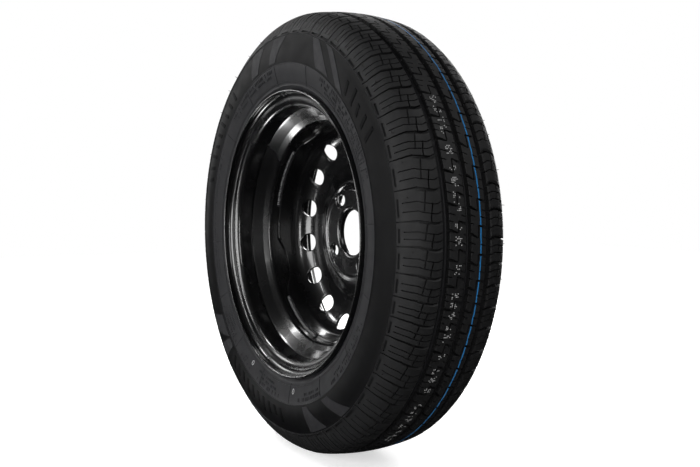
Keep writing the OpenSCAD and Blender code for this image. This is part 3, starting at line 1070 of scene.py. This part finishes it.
    def build(self) -> None:
        """Builds the marks of both walls."""
        lines, flashes, blocks = [], [], []
        for side in Side:
            def seen(turn: float) -> float:
                """The angle as it reads from the side that the wall faces."""
                return turn if side is Side.INBOARD else 180 - turn
            lines += [self.ridge(*ridge, side) for ridge in self.ridges]
            for a, b, c, d in self.flashes:
                flashes.append(self.pad((217.0, 248.5), (seen(a), seen(b)), (seen(c), seen(d)), 0.4, side))
            for start, count, step in ((125.0, 9, 4.4), (231.5, 10, 4.1), (28.0, 5, 4.4)):
                for k in range(count):
                    turn = start + k * step
                    tall = 240.0 - 3.0 * (k % 3)
                    blocks.append(self.pad((222.0, tall), (seen(turn), seen(turn + 1.6)),
                                           (seen(turn + 1.5), seen(turn + 2.9)), 0.5, side))
        for name, parts, sharp, finish in (("tyre_wall_ridges", lines, 60, SIDEWALL),
                                           ("tyre_wall_flashes", flashes, 50, KNURLED),
                                           ("tyre_wall_blocks", blocks, 50, ETCHED)):
            on_tyre(new_object(name, joined(parts), sharp=sharp), finish)
        half = math.degrees(0.55 / 200)
        bands = [self.pad((187.6, 213.8), (-half, -half), (half, half), 0.45, side) for side in Side]
        turns = [5 + 360 / self.dividers * k for k in range(self.dividers)]
        kinds = [0] * len(turns) + [1] * len(turns)
        for name, tiles, turns, kinds in (("dividers", bands, turns * 2, kinds), ("bars", *self.bars())):
            made = [new_object(f"{name}_{k}", tile, sharp=50) for k, tile in enumerate(tiles)]
            on_tyre(scattered("tyre_wall_" + name, made, turns, kinds, SIDEWALL), SIDEWALL)
        on_tyre(new_object("tyre_ring_marks", joined(self.ring_mark(turn) for turn in self.ring_marks)), INK)


@dataclass
class TreadMarks:
    """What the works leaves on a new tread: moulding hairs at its edges, and a strip of inked dots.

    Attributes:
        tyre: The tyre that they are on.
        hairs: Number of hairs on each edge.
        dots_from: Angle at which the dots start, running downwards.
        dots_to: Angle at which they end.
        seed: Seed of the dots' pattern and the hairs' lean.
    """

    tyre: Tyre
    hairs: int = 44
    dots_from: float = 34.0
    dots_to: float = -60.0
    seed: int = 11

    def hair(self, u: float, lean: float, long: float) -> Mesh:
        """A thin tapering hair of rubber."""
        y, r = self.tyre.tread.at(u, -0.4)
        y_end, r_end = self.tyre.tread.at(u + lean, long)
        start, end = Vector((float(r), float(y), 0)), Vector((float(r_end), float(y_end), lean))
        way = (end - start).normalized()
        side = way.cross(Vector((0, 0, 1))).normalized()
        other = way.cross(side)
        places = []
        for middle, radius in ((start, 0.42), (start.lerp(end, 0.6), 0.3), (end, 0.16)):
            for k in range(6):
                a = math.pi * k / 3
                places.append(tuple((middle + (side * math.cos(a) + other * math.sin(a)) * radius) * MM))
        return places, tube_faces(3, 6) + [(5, 4, 3, 2, 1, 0), (12, 13, 14, 15, 16, 17)]

    def dot(self, u: float) -> Mesh:
        """A dot of ink, 1.1 mm across, on the inboard rib."""
        grids: tuple[list, list] = ([], [])
        for a in (-0.55, 0.55):
            for grid, height in zip(grids, (-0.25, 0.05)):
                y, r = (float(v) for v in self.tyre.tread.at(u + a, height))
                turns = (math.degrees(b / self.tyre.tyre_r) for b in (-0.5, 0.5))
                grid.append([turned_place(y, r, turn) for turn in turns])
        return closed_grid(*grids)

    def over_cut(self, u: float, turn: float) -> bool:
        """Whether a place on the inboard rib is over one of its cuts."""
        rib = self.tyre.zones()[1]
        turns = [start + rib.lead for start in self.tyre.starts()]
        i = max((k for k, start in enumerate(turns) if start >= turn), default=0)
        kind = self.tyre.pitch_order[i]
        share = (turns[i] - turn) / self.tyre.pitch_kinds[kind]
        here = np.array([u, share * self.tyre.long(kind)])
        for cut in rib.cuts:
            for shift in (-1, 0, 1):
                line = [np.array([a, (t + shift) * self.tyre.long(kind)]) for a, t in cut.line]
                for a, b in zip(line, line[1:]):
                    along = clamped((here - a) @ (b - a) / ((b - a) @ (b - a)))
                    if np.linalg.norm(here - a - (b - a) * along) < max(cut.width) / 2 + 0.8:
                        return True
        return False

    def build(self) -> None:
        """Builds the dots and the hairs."""
        rng = random.Random(self.seed)
        lines = [-16.9, -15.1, -13.3, -11.5, -9.7]
        turns, kinds = [], []
        turn = self.dots_from
        while turn > self.dots_to:
            for _ in range(rng.choice((4, 5, 5, 6))):
                turn -= math.degrees(1.75 / self.tyre.tyre_r)
                for k in range(len(lines)):
                    if rng.random() < 0.5 and not self.over_cut(lines[k], turn):
                        turns.append(turn)
                        kinds.append(k)
            turn -= rng.choice((0.7, 0.7, 0.9, 2.6, 4.0))
        dots = [new_object(f"dot_{k}", self.dot(u)) for k, u in enumerate(lines)]
        on_tyre(scattered("tyre_ink_dots", dots, turns, kinds, INK), INK)
        tiles, turns, kinds = [], [], []
        for side in Side:
            for k in range(3):
                hair = self.hair(side.value * (66 + 3 * k), rng.uniform(-1, 1), 2.2 + 0.7 * k)
                tiles.append(new_object(f"hair_{side.value}_{k}", hair))
            for i in range(self.hairs):
                turns.append(360 / self.hairs * (i + rng.uniform(-0.3, 0.3)))
                kinds.append(len(tiles) - 3 + rng.randrange(3))
        on_tyre(scattered("tyre_hairs", tiles, turns, kinds, TREAD), TREAD)


# The wheel

@dataclass
class Rim:
    """The rolled steel rim, 4.5J x 13, as one sheet section turned round."""

    half_w: float = 57.15
    seat_r: float = 164.7
    well_r: float = 146.5
    sheet: float = 2.5
    flange_r: float = 9.5
    flange_height: float = 17.3
    flange_curl: float = 22.0

    def path(self) -> list[Point]:
        """The tyre side of the rim's section, inboard to outboard."""
        def seat(y: float) -> float:
            """Radius of the bead seat, which tapers by five degrees."""
            return self.seat_r - (self.half_w - y) * math.tan(math.radians(5))

        top = self.seat_r + self.flange_height - self.flange_r
        curl = arc((self.half_w + self.flange_r, top), self.flange_r, 180, 90 - self.flange_curl, 16)
        bead = [(34.65, seat(34.65) + 1.6, 3), (37.35, seat(37.35), 3), (self.half_w, self.seat_r, 6.5)]
        inboard = [(-self.half_w, top, 0), (-57.15, self.seat_r, 6.5), (-37.35, seat(37.35), 3),
                   (-34.65, seat(34.65) + 1.6, 3), (-31.5, 161.5, 5), (-21.5, 153.5, 8),
                   (-15, self.well_r, 5)]
        outboard = [(21.5, self.well_r, 5), (30, 161.5, 4), *bead, (self.half_w, top, 0)]
        return mirrored(curl)[:-1] + rounded(inboard + outboard) + curl[1:]

    def build(self) -> None:
        """Builds the rim."""
        made = new_object("rim_barrel", revolved(rolled_sheet(self.path(), self.sheet), 320), sharp=40)
        dress(flat_shaded_curves(made), ENAMEL, "black_paint", "wheel", "rim")


@dataclass
class Disc:
    """The pressed disc: bore, bolt pockets, embossed ring, vents and welded flange.

    Attributes:
        pocket_depth: Depth of the pocket round a bolt hole in the mounting face.
        seat_height: Height of a bolt seat's top over the mounting face.
        seat_fall: Drop from there to the sheet's own face round the seat.
        cone_depth: Depth of the seat's cone.
        vent_clear: Width of the ring round a vent that only the vent's loops fill.
        bolt_clear: Radius of the area round a bolt hole that only its loops fill.
        hub_end: Distance along the section past which no bolt seat reaches.
        row_step: Greatest step along the section between rows of places.
        row_least: Least step, under which a row is left out.
        rim_row: Distance from either end of the section to an extra row.
    """

    sheet: float = 3.5
    inset: float = 30.0
    bore_r: float = 30.0
    bolt_circle_r: float = 50.0
    bolt_hole_r: float = 7.25
    bolt_turn: float = 31.0
    vent_r: float = 12.0
    vent_tilt: float = 30.0
    vent_pitch: float = 22.5
    pocket_depth: float = 2.5
    seat_height: float = 8.2
    seat_fall: float = 4.7
    cone_depth: float = 4.3
    vent_clear: float = 4.2
    bolt_clear: float = 15.2
    hub_end: float = 60.0
    row_step: float = 3.0
    row_least: float = 0.25
    rim_row: float = 0.5
    flange_r: float = 140.5
    bend_r: float = 28.0
    edge_y: float = -3.0
    scallop_depth: float = 12.0
    scallop_half_w: float = 36.5
    lobe_turn: float = 20.0
    steps: int = 92

    def __post_init__(self) -> None:
        """Lays out the section."""
        inset, crown = self.inset, self.inset + 12
        self.crown_y = crown
        self.track = Track(rounded([
            (inset + 9, self.bore_r, 0), (inset, self.bore_r, 4.6), (inset, 57, 4), (inset + 2.4, 59.6, 2.5),
            (inset + 2.4, 61.6, 2.5), (inset, 64.2, 4), (inset, 67.5, 7), (crown, 92, 18),
            (crown, self.flange_r, self.bend_r), (self.edge_y, self.flange_r, 0)], step=5))
        self.s_end = float(self.track.along[-1])
        self.s_flange = self.s_end - (crown - self.bend_r - self.edge_y)
        self.s_bend = self.s_flange - self.bend_r * math.pi / 2
        self.s_vent = self.s_bend + self.bend_r * math.radians(self.vent_tilt)

    def edge_at(self, turn: float) -> float:
        """Distance outboard of the flange's edge at an angle, with the scallops between its lobes."""
        radius = (self.scallop_half_w ** 2 + self.scallop_depth ** 2) / (2 * self.scallop_depth)
        off = (turn - self.lobe_turn + 45) % 90 - 45
        across = self.flange_r * math.sin(math.radians(off))
        if abs(across) >= self.scallop_half_w:
            return self.edge_y
        return self.edge_y + self.scallop_depth - radius + math.sqrt(radius ** 2 - across ** 2)

    def nearest_vent(self, turn: float) -> float:
        """The angle of the vent nearest an angle."""
        return self.bolt_turn + self.vent_pitch * round((turn - self.bolt_turn) / self.vent_pitch)

    def hole_loops(self) -> list[list[list[Point]]]:
        """The loops of places round each of a quarter's holes.

        Returns:
            For each hole its loops, its edge first, each of (distance along the section, angle in degrees).
        """
        holes = []
        for k in range(4):
            turn = self.bolt_turn + self.vent_pitch * (k - 2)
            holes.append([])
            for radius in (self.vent_r, self.vent_r + 0.5, self.vent_r + 1.6, self.vent_r + 3.5):
                loop = []
                for a in np.radians(np.arange(0, 360, 7.5)):
                    s = self.s_vent + self.bend_r * math.asin(radius * math.cos(a) / self.bend_r)
                    r = float(self.track.at(s)[1])
                    loop.append((s, turn + math.degrees(math.atan2(radius * math.sin(a), r))))
                holes[-1].append(loop)
        s_bolt = self.track.u_of_radius(self.bolt_circle_r, 8, 30)
        holes.append([])
        for radius in (self.bolt_hole_r, 7.7, 8.7, 9.8, 10.4, 11.1, 12.0, 13.0, 14.5):
            loop = []
            for a in np.radians(np.arange(0, 360, 7.5 if radius < 12.5 else 10)):
                r = self.bolt_circle_r + radius * math.cos(a)
                across = radius * math.sin(a)
                far = math.hypot(r, across)
                # The hub face is flat between these radii, so distance along the section is radius there
                flat = 36 <= far <= 55.5
                s = (s_bolt + far - self.bolt_circle_r if flat
                     else self.track.u_of_radius(far, 5, self.hub_end))
                loop.append((s, self.bolt_turn + math.degrees(math.atan2(across, r))))
            holes[-1].append(loop)
        return holes

    def place(self, s: float, turn: float, outer: bool, lip: float) -> Place:
        """A place on either face of the disc.

        Args:
            s: Distance along the section.
            turn: Angle in degrees.
            outer: Whether it is on the outboard face.
            lip: How far the place is drawn back at an edge.
        Returns:
            The place in metres.
        """
        if s > self.s_flange:
            share = (s - self.s_flange) / (self.s_end - self.s_flange)
            start = self.crown_y - self.bend_r
            y, r = start + (self.edge_at(turn) - start) * share, self.flange_r
            side_y, side_r = 0.0, 1.0
        else:
            y, r = (float(v) for v in self.track.at(s))
            side_y, side_r = (float(np.interp(s, self.track.along, self.track.sides[:, k])) for k in (0, 1))
        thick = self.sheet - lip if outer else lip
        # Near a vent both faces follow the punch, which goes square through the bend
        tilt = math.radians(self.vent_tilt)
        across = r * math.sin(math.radians(turn - self.nearest_vent(turn)))
        along = self.bend_r * math.sin(min(max((s - self.s_vent) / self.bend_r, -1.5), 1.5))
        near = math.hypot(along, across)
        pull = float(np.interp(near, [self.vent_r, self.vent_r + 6], [1.0, 0.0]))
        if pull > 0:
            axis = (math.cos(tilt), math.sin(tilt))
            mixed = unit(np.array([side_y + (axis[0] - side_y) * pull, side_r + (axis[1] - side_r) * pull]))
            thick /= max(0.8, float(mixed @ np.array([side_y, side_r])))
            side_y, side_r = float(mixed[0]), float(mixed[1])
        # The bolt pockets are pressed outboard, with a raised seat on the outboard face
        off = math.radians((turn - self.bolt_turn + 45) % 90 - 45)
        px, pz = r * math.cos(off) - self.bolt_circle_r, r * math.sin(off)
        rho = math.hypot(px, pz)
        if rho < 20 and s < self.hub_end:
            pocket = self.inset + self.pocket_depth * (1 - eased(rho, 8.7, 3.3))
            seat = self.inset + self.seat_height - self.seat_fall * eased(rho, 11, 5.5)
            if outer:
                face = max(y + side_y * thick, seat - self.cone_depth * clamped((9.8 - rho) / 2.55) - lip)
                return turned_place(face, r + side_r * thick, turn)
            return turned_place(max(y, pocket) + lip, r, turn)
        return turned_place(y + side_y * thick, r + side_r * thick, turn)

    def stations(self) -> list[float]:
        """Distances along the section at which a quarter has its rows of places."""
        along = self.track.along
        dense = []
        for a, b in zip(along, along[1:]):
            parts = max(1, math.ceil((b - a) / self.row_step))
            dense += [a + (b - a) * k / parts for k in range(parts)]
        dense.append(along[-1])
        dense = [d for k, d in enumerate(dense) if k == 0 or d - dense[k - 1] > self.row_least]
        return [dense[0], self.rim_row, *dense[1:-1], self.s_end - self.rim_row, dense[-1]]

    def near_hole(self, s: float, turn: float) -> bool:
        """Whether a place is so near a hole that only the hole's loops have places there."""
        r = float(self.track.at(s)[1])
        off_vent = math.hypot(s - self.s_vent, r * math.radians(turn - self.nearest_vent(turn)))
        off = math.radians(turn - self.bolt_turn)
        off_bolt = math.hypot(r * math.cos(off) - self.bolt_circle_r, r * math.sin(off))
        by_bolt = s < self.hub_end and off_bolt < self.bolt_clear
        return by_bolt or off_vent < self.vent_r + self.vent_clear

    @staticmethod
    def in_hole(holes: Sequence[Sequence[Point]], s: float, turn: float) -> bool:
        """Whether a place is inside the edge of any of the holes."""
        for loop in holes:
            inside = False
            for (s0, t0), (s1, t1) in zip(loop, [*loop[1:], loop[0]]):
                if (t0 > turn) != (t1 > turn) and s < s0 + (turn - t0) * (s1 - s0) / (t1 - t0):
                    inside = not inside
            if inside and abs(s - loop[0][0]) < 30:
                return True
        return False

    def quarter(self) -> Mesh:
        """A quarter of the disc with one bolt hole and four vents, cut between vents."""
        # Angles are stretched, so that triangles in the plane have much the shape that they have on the disc
        stretch = 1.6
        turns = self.bolt_turn - 2.5 * self.vent_pitch + np.linspace(0, 90, self.steps + 1)
        ends = (turns[0], turns[-1])
        spots = [Vector((s, turn * stretch)) for s in self.stations() for turn in turns
                 if turn in ends or not self.near_hole(s, turn)]
        edges = []
        holes = self.hole_loops()
        for loop in (loop for hole in holes for loop in hole):
            base = len(spots)
            spots += [Vector((s, t * stretch)) for s, t in loop]
            edges += [(base + k, base + (k + 1) % len(loop)) for k in range(len(loop))]
        verts, _, tris, _, _, _ = delaunay_2d_cdt(spots, edges, [], 0, 1e-5, True)

        kept = []
        for tri in tris:
            middle = sum((verts[k] for k in tri), Vector((0, 0))) / 3
            if not self.in_hole([hole[0] for hole in holes], middle.x, middle.y / stretch):
                kept.append(tri)
        sides = {(a, b) for tri in kept for a, b in zip(tri, tri[1:] + tri[:1])}

        def on_cut(k: int, end: float) -> bool:
            """Whether a vertex is on one of the quarter's two straight cuts."""
            return abs(verts[k].y / stretch - end) < 1e-4

        border = [(a, b) for tri in kept for a, b in zip(tri, tri[1:] + tri[:1]) if (b, a) not in sides
                  and not any(on_cut(a, end) and on_cut(b, end) for end in ends)]
        lipped = {k for side in border for k in side}
        places = [self.place(v.x, v.y / stretch, outer, 0.4 if k in lipped else 0.0)
                  for outer in (False, True) for k, v in enumerate(verts)]
        size = len(verts)
        faces: list[Sequence[int]] = [tuple(tri) for tri in kept]
        faces += [tuple(size + k for k in reversed(tri)) for tri in kept]
        faces += [(b, a, size + a, size + b) for a, b in border]
        return places, faces

    def build(self) -> None:
        """Builds the disc from four quarters set round by Geometry Nodes."""
        tile = new_object("disc_quarter", self.quarter(), sharp=40, outwards=False)
        made = scattered("wheel_disc_pressing", [tile], [0, 90, 180, 270], [0] * 4, ENAMEL, merge=0.01)
        settled(made.data, sharp=40)
        dress(made, ENAMEL, "black_paint", "wheel", "wheel_disc")


@dataclass
class Welds:
    """The four arc weld beads between the disc's lobes and the rim's well."""

    first: float = 40.0
    span: float = 37.0
    disc_edge: float = -3.0
    lap_r: float = 144.0
    rise: float = 3.9
    ripple_mm: float = 2.6
    seed: int = 7

    def bead(self, start: float, rng: random.Random) -> Mesh:
        """One bead: a rounded fillet with the ripples of its passes and closed, rounded ends."""
        steps, sides = 170, 9
        places: list[Place] = []
        phase = rng.random()
        swell = [rng.uniform(-0.25, 0.25) for _ in range(40)]
        for i in range(steps + 1):
            share = i / steps
            taper = min(1.0, math.sqrt(max(0.0, min(share, 1 - share) / 0.03)))
            arc_mm = share * math.radians(self.span) * self.lap_r
            ripple = 0.22 * abs(math.sin(math.pi * (arc_mm / self.ripple_mm + phase)))
            grow = float(np.interp(share * 39, range(40), swell))
            for k in range(sides):
                a = math.radians(-8 + 106 * k / (sides - 1))
                bulge = ripple * math.sin(math.pi * k / (sides - 1)) * 1.6
                reach = (self.rise + grow + bulge) * (0.35 + 0.65 * taper)
                lean = 0.35 * math.sin(2 * math.pi * arc_mm / 11 + phase * 6)
                outboard = self.disc_edge + 0.3 - (reach * math.sin(a) if k else 0.0)
                radius = self.lap_r + 0.2 - reach * math.cos(a) + lean * math.sin(2 * a) * 0.3
                places.append(turned_place(outboard, radius, start + share * self.span))
            places.append(turned_place(self.disc_edge + 0.6, self.lap_r + 0.4, start + share * self.span))
        return places, tube_faces(steps + 1, sides + 1, capped=True)

    def build(self) -> None:
        """Builds the four beads as one piece."""
        rng = random.Random(self.seed)
        beads = [self.bead(self.first + 90 * i, rng) for i in range(4)]
        made = new_object("disc_weld_beads", joined(beads), sharp=50)
        dress(made, WELD_ENAMEL, "black_paint", "wheel", "disc_welds")


# The valve

@dataclass
class Valve:
    """The snap-in valve in the rim's outboard slope."""

    turn: float = 76.0
    stem_length: float = 29.5
    stem_r: float = 3.85
    hole_r: float = 5.65
    foot: Point = (25.75, 154.0)
    slope: Point = (8.5, 15.0)

    def place(self, r: float, height: float, a: float) -> Place:
        """A place given round the valve's axis, in metres."""
        tilt = math.atan2(self.slope[1], self.slope[0])
        turn = math.radians(self.turn)
        out = Vector((-math.cos(tilt) * math.cos(turn), math.sin(tilt), -math.cos(tilt) * math.sin(turn)))
        radial = Vector((math.cos(turn), 0, math.sin(turn)))
        side = out.cross(Vector((-math.sin(turn), 0, math.cos(turn))))
        round_ = out.cross(side)
        foot = radial * self.foot[1] + Vector((0, self.foot[0], 0))
        return tuple((foot + out * height + (side * math.cos(a) + round_ * math.sin(a)) * r) * MM)

    def turned(self, section: Sequence[Point], segments: int = 64,
               ripple: Callable[[float, float, float], float] | None = None) -> Mesh:
        """A section of (radius, height) points turned round the valve's axis.

        Args:
            section: The closed section.
            segments: Steps round the axis.
            ripple: Gives the radius for a radius, height and angle.
        Returns:
            The places and faces.
        """
        places = []
        for i in range(segments):
            a = 2 * math.pi * i / segments
            for r, h in section:
                places.append(self.place(ripple(r, h, a) if ripple else r, h, a))
        return places, tube_faces(segments, len(section), ring=True)

    def body_section(self) -> list[Point]:
        """The rubber body's section."""
        return [(self.stem_r, -3), (5.5, -3.6), (8.2, -2.7), (9.2, -1.5), (9.5, -0.3), (9.3, 0),
                (self.hole_r, 0), (self.hole_r, 2.5), (7.3, 2.5), (7.6, 2.8), (7.55, 4), (7.3, 5.4),
                (6.6, 8), (6.2, 10), (5.4, 15), (4.9, 17.6), (4.6, 18.3), (self.stem_r, 18.5)]

    def build(self) -> None:
        """Builds the body, the stem with its thread, and the cap."""
        body = new_object("valve_body_rubber", self.turned(self.body_section()), merge=0.001)
        dress(body, VALVE_RUBBER, "valve_rubber", "wheel", "valve_body")
        top = self.stem_length
        thread = []
        for h in np.arange(19.0, top - 0.9, 0.4):
            thread += [(self.stem_r, float(h)), (self.stem_r - 0.32, float(h) + 0.2)]
        stem = [(1.5, -3.4), (self.stem_r, -3.4), (self.stem_r, 18.6), *thread, (self.stem_r, top - 0.6),
                (self.stem_r - 0.6, top), (2.5, top), (2.5, 21), (2.2, 20.2), (2.2, 12), (1.5, 11)]
        made = new_object("valve_stem_brass", self.turned(stem, 48), merge=0.001)
        dress(made, BRASS, "brass", "wheel", "valve_stem")
        low, high = top - 9, top + 2
        cap = [(0.0, top + 0.6), (3.9, top + 0.6), (3.9, low), (4.9, low), (4.95, low + 0.3),
               (4.95, low + 1.2), (4.9, low + 1.6), (4.9, high - 1.6), (4.75, high - 0.8), (4.1, high),
               (0.0, high)]

        def ribbed(r: float, h: float, a: float) -> float:
            """The cap's radius, drawn in along its twelve grip flutes."""
            if r > 4.6 and low + 1 < h < high - 0.5:
                return r - 0.5 * max(0.0, math.cos(12 * a)) ** 4
            return r
        made = new_object("valve_cap_moulded", self.turned(cap, 144, ribbed), merge=0.001)
        dress(made, CAP, "cap_plastic", "cap", "valve_cap")
        self.spring()

    def spring(self) -> None:
        """Winds the core's spring at full length; it is not made to shorten as the pin is pressed in."""
        floor, collar, travel = 18.5, 26.0, 1.2
        coil_r, wire_r, turns, steps, sides = 1.05, 0.25, 7, 24, 8
        places = []
        for i in range(turns * steps + 1):
            rise = floor + wire_r + (collar - floor - 2 * wire_r) * i / (turns * steps)
            for k in range(sides):
                b = 2 * math.pi * k / sides
                places.append(self.place(coil_r + wire_r * math.cos(b), rise + wire_r * math.sin(b),
                                         2 * math.pi * i / steps))
        faces = tube_faces(turns * steps + 1, sides, capped=True)
        made = new_object("valve_core_spring_wire", (places, faces))
        dress(made, WIRE, "spring_steel", "wheel", "valve_core_spring")
        foot, head = Vector(self.place(0, floor, 0)), Vector(self.place(0, collar, 0))
        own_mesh(made)


# The studio

# Each lamp's name, place in metres, width and height in metres, and power. All face the wheel's centre.
LAMPS = (
    ("front strip", (-0.06, -1.70, 0.12), (1.0, 0.8), 18),
    ("camera strip", (1.36, -1.05, 0.22), (0.2, 1.1), 8),
    ("overhead box", (-0.74, -0.72, 0.97), (0.22, 0.22), 4.0),
    ("left box", (-1.4, -0.85, 0.62), (0.5, 0.5), 4.6),
    ("ring strip", (-0.85, -1.47, 0.06), (0.12, 0.8), 4.5),
    ("tread box", (1.3, 0.5, 1.3), (0.8, 0.8), 9),
    ("outboard box", (-0.95, 1.35, 0.6), (1.2, 1.2), 26))


@dataclass
class Studio:
    """The camera, the plain pale floor and the soft lamps."""

    azimuth: float = 1.03164920
    elevation: float = 0.0393444
    distance: float = 1200.0
    focal_px: float = 918.684
    centre_px: Point = (331.0, 232.870)
    photo_px: tuple[int, int] = (700, 467)
    sensor_mm: float = 36.0
    floor_z: float = -281.0
    floor_glow: float = 0.58
    # A spot on the floor that glows only in mirrors, a painted reflection of a low light table, and how
    # strongly it glows
    reflection_glow_spot: Point = (-0.35, -0.26)
    reflection_glow_strength: float = 20.0
    dim_world: float = 0.14

    def camera(self) -> None:
        """Makes the camera at the photograph's viewpoint."""
        data = bpy.data.cameras.new("Camera")
        data.sensor_width = self.sensor_mm
        data.lens = self.focal_px * self.sensor_mm / self.photo_px[0]
        data.shift_x = (self.photo_px[0] / 2 - self.centre_px[0]) / self.photo_px[0]
        data.shift_y = (self.centre_px[1] - self.photo_px[1] / 2) / self.photo_px[0]
        made = linked("Camera", data)
        way = Vector((math.sin(self.azimuth) * math.cos(self.elevation),
                      -math.cos(self.azimuth) * math.cos(self.elevation), math.sin(self.elevation)))
        made.location = way * self.distance * MM
        made.rotation_euler = (-way).to_track_quat("-Z", "Y").to_euler()
        bpy.context.scene.camera = made

    def lamp(self, name: str, place: Place, size: Point, watts: float) -> None:
        """Adds a rectangular soft box that faces the wheel's centre.

        Args:
            name: The lamp's name.
            place: Its place in metres.
            size: Its width and height in metres.
            watts: Its power.
        """
        data = bpy.data.lights.new(name, "AREA")
        data.shape = "RECTANGLE"
        data.size, data.size_y = size
        data.energy = watts
        made = linked(name, data)
        made.location = place
        made.rotation_euler = (-Vector(place)).to_track_quat("-Z", "Y").to_euler()

    def world(self) -> None:
        """A surround that is white to the camera and in mirrors of the backdrop, and dim as a light.

        Glossy rays see the white backdrop behind the wheel, and the dark studio on the photographer's side.
        """
        world = bpy.data.worlds.new("Studio")
        world.use_nodes = True
        bpy.context.scene.world = world
        tree = world.node_tree
        path = add_node(tree, "ShaderNodeLightPath")
        seen = maths(tree, "MAXIMUM", path.outputs["Is Camera Ray"], path.outputs["Is Transmission Ray"])
        way = add_node(tree, "ShaderNodeTexCoord").outputs["Generated"]
        ahead = (-math.sin(self.azimuth), math.cos(self.azimuth), 0)
        facing = add_node(tree, "ShaderNodeVectorMath", {0: way, 1: ahead}, operation="DOT_PRODUCT")
        spread = mapped(tree, facing.outputs["Value"], (0.45, 0.8), (0.03, 1.0), smooth=True)
        dim = add_node(tree, "ShaderNodeMix",
                       {0: path.outputs["Is Glossy Ray"], 2: self.dim_world, 3: spread}, data_type="FLOAT")
        level = maths(tree, "MAXIMUM", seen, dim.outputs[0])
        sky = tree.nodes["Background"]
        sky.inputs[0].default_value = linear("#FFFFFF")
        tree.links.new(level, sky.inputs[1])

    def floor(self) -> None:
        """A pale floor that keeps the wheel's shadow. A spot on it glows only for mirrors, a painted
        reflection of a low light table, and mirrors see the rest of it dark grey, a painted darkening of its
        reflection.
        """
        z, reach = self.floor_z * MM, 4.0
        corners = [(-reach, -reach, z), (reach, -reach, z), (reach, reach, z), (-reach, reach, z)]
        made = new_object("floor", (corners, [(0, 1, 2, 3)]), outwards=False)
        paint = bpy.data.materials.new("matt white floor")
        paint.use_nodes = True
        tree = paint.node_tree
        tree.nodes.remove(tree.nodes["Principled BSDF"])
        path = add_node(tree, "ShaderNodeLightPath")
        glossy = path.outputs["Is Glossy Ray"]
        # Mirrors see the floor dark grey instead of near white: painted shade in its reflection
        matt = add_node(tree, "ShaderNodeBsdfDiffuse", {"Color": blended(tree, glossy, "#F4F4F4", "#1E1E1E")})
        place = add_node(tree, "ShaderNodeTexCoord").outputs["Object"]
        off_reflection_glow = distance_to(tree, place, (*self.reflection_glow_spot, z))
        spot = mapped(tree, off_reflection_glow, (0.09, 0.04), (0.0, self.reflection_glow_strength), smooth=True)
        # Only mirrors some way off see the glowing spot, a painted reflection, so the tyre just above it
        # stays dark
        distant = maths(tree, "GREATER_THAN", path.outputs["Ray Length"], 0.3)
        shine = maths(tree, "MULTIPLY", spot, maths(tree, "MULTIPLY", distant, glossy))
        # The floor glows more away from the wheel, where the lamps reach it less, so that it stays white
        away = distance_to(tree, place, (0, 0, z))
        lift = mapped(tree, away, (0.25, 0.8), (self.floor_glow, 1.0), smooth=True)
        strength = maths(tree, "MULTIPLY_ADD", path.outputs["Is Camera Ray"], lift, shine)
        glow = add_node(tree, "ShaderNodeEmission", {"Color": linear("#FFFFFF"), "Strength": strength})
        both = add_node(tree, "ShaderNodeAddShader", {0: matt.outputs[0], 1: glow.outputs[0]})
        tree.links.new(both.outputs[0], tree.nodes["Material Output"].inputs[0])
        made.data.materials.append(paint)

    def build(self) -> None:
        """Sets up the studio."""
        bpy.context.scene.view_settings.view_transform = "Standard"
        self.camera()
        self.world()
        self.floor()
        for lamp in LAMPS:
            self.lamp(*lamp)


def dress_core() -> None:
    """Finishes the small CAD pieces inside the valve and its cap."""
    finishes = {"valve_core_barrel": BRASS, "valve_core_seal": SEAL, "valve_core_pin": BRASS,
                "valve_core_cup_seal": VALVE_RUBBER, "valve_cap_seal": VALVE_RUBBER}
    for name, finish in finishes.items():
        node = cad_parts[name]
        node.data.materials.clear()
        node.data.materials.append(finish.material())


def main() -> None:
    """Builds every piece and the studio."""
    logging.basicConfig(level=logging.INFO, format="%(name)s: %(message)s")
    Studio().build()
    Tyre().build()
    Rim().build()
    Disc().build()
    Welds().build()
    Valve().build()
    dress_core()
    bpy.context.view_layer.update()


if __name__ == "__main__":
    main()
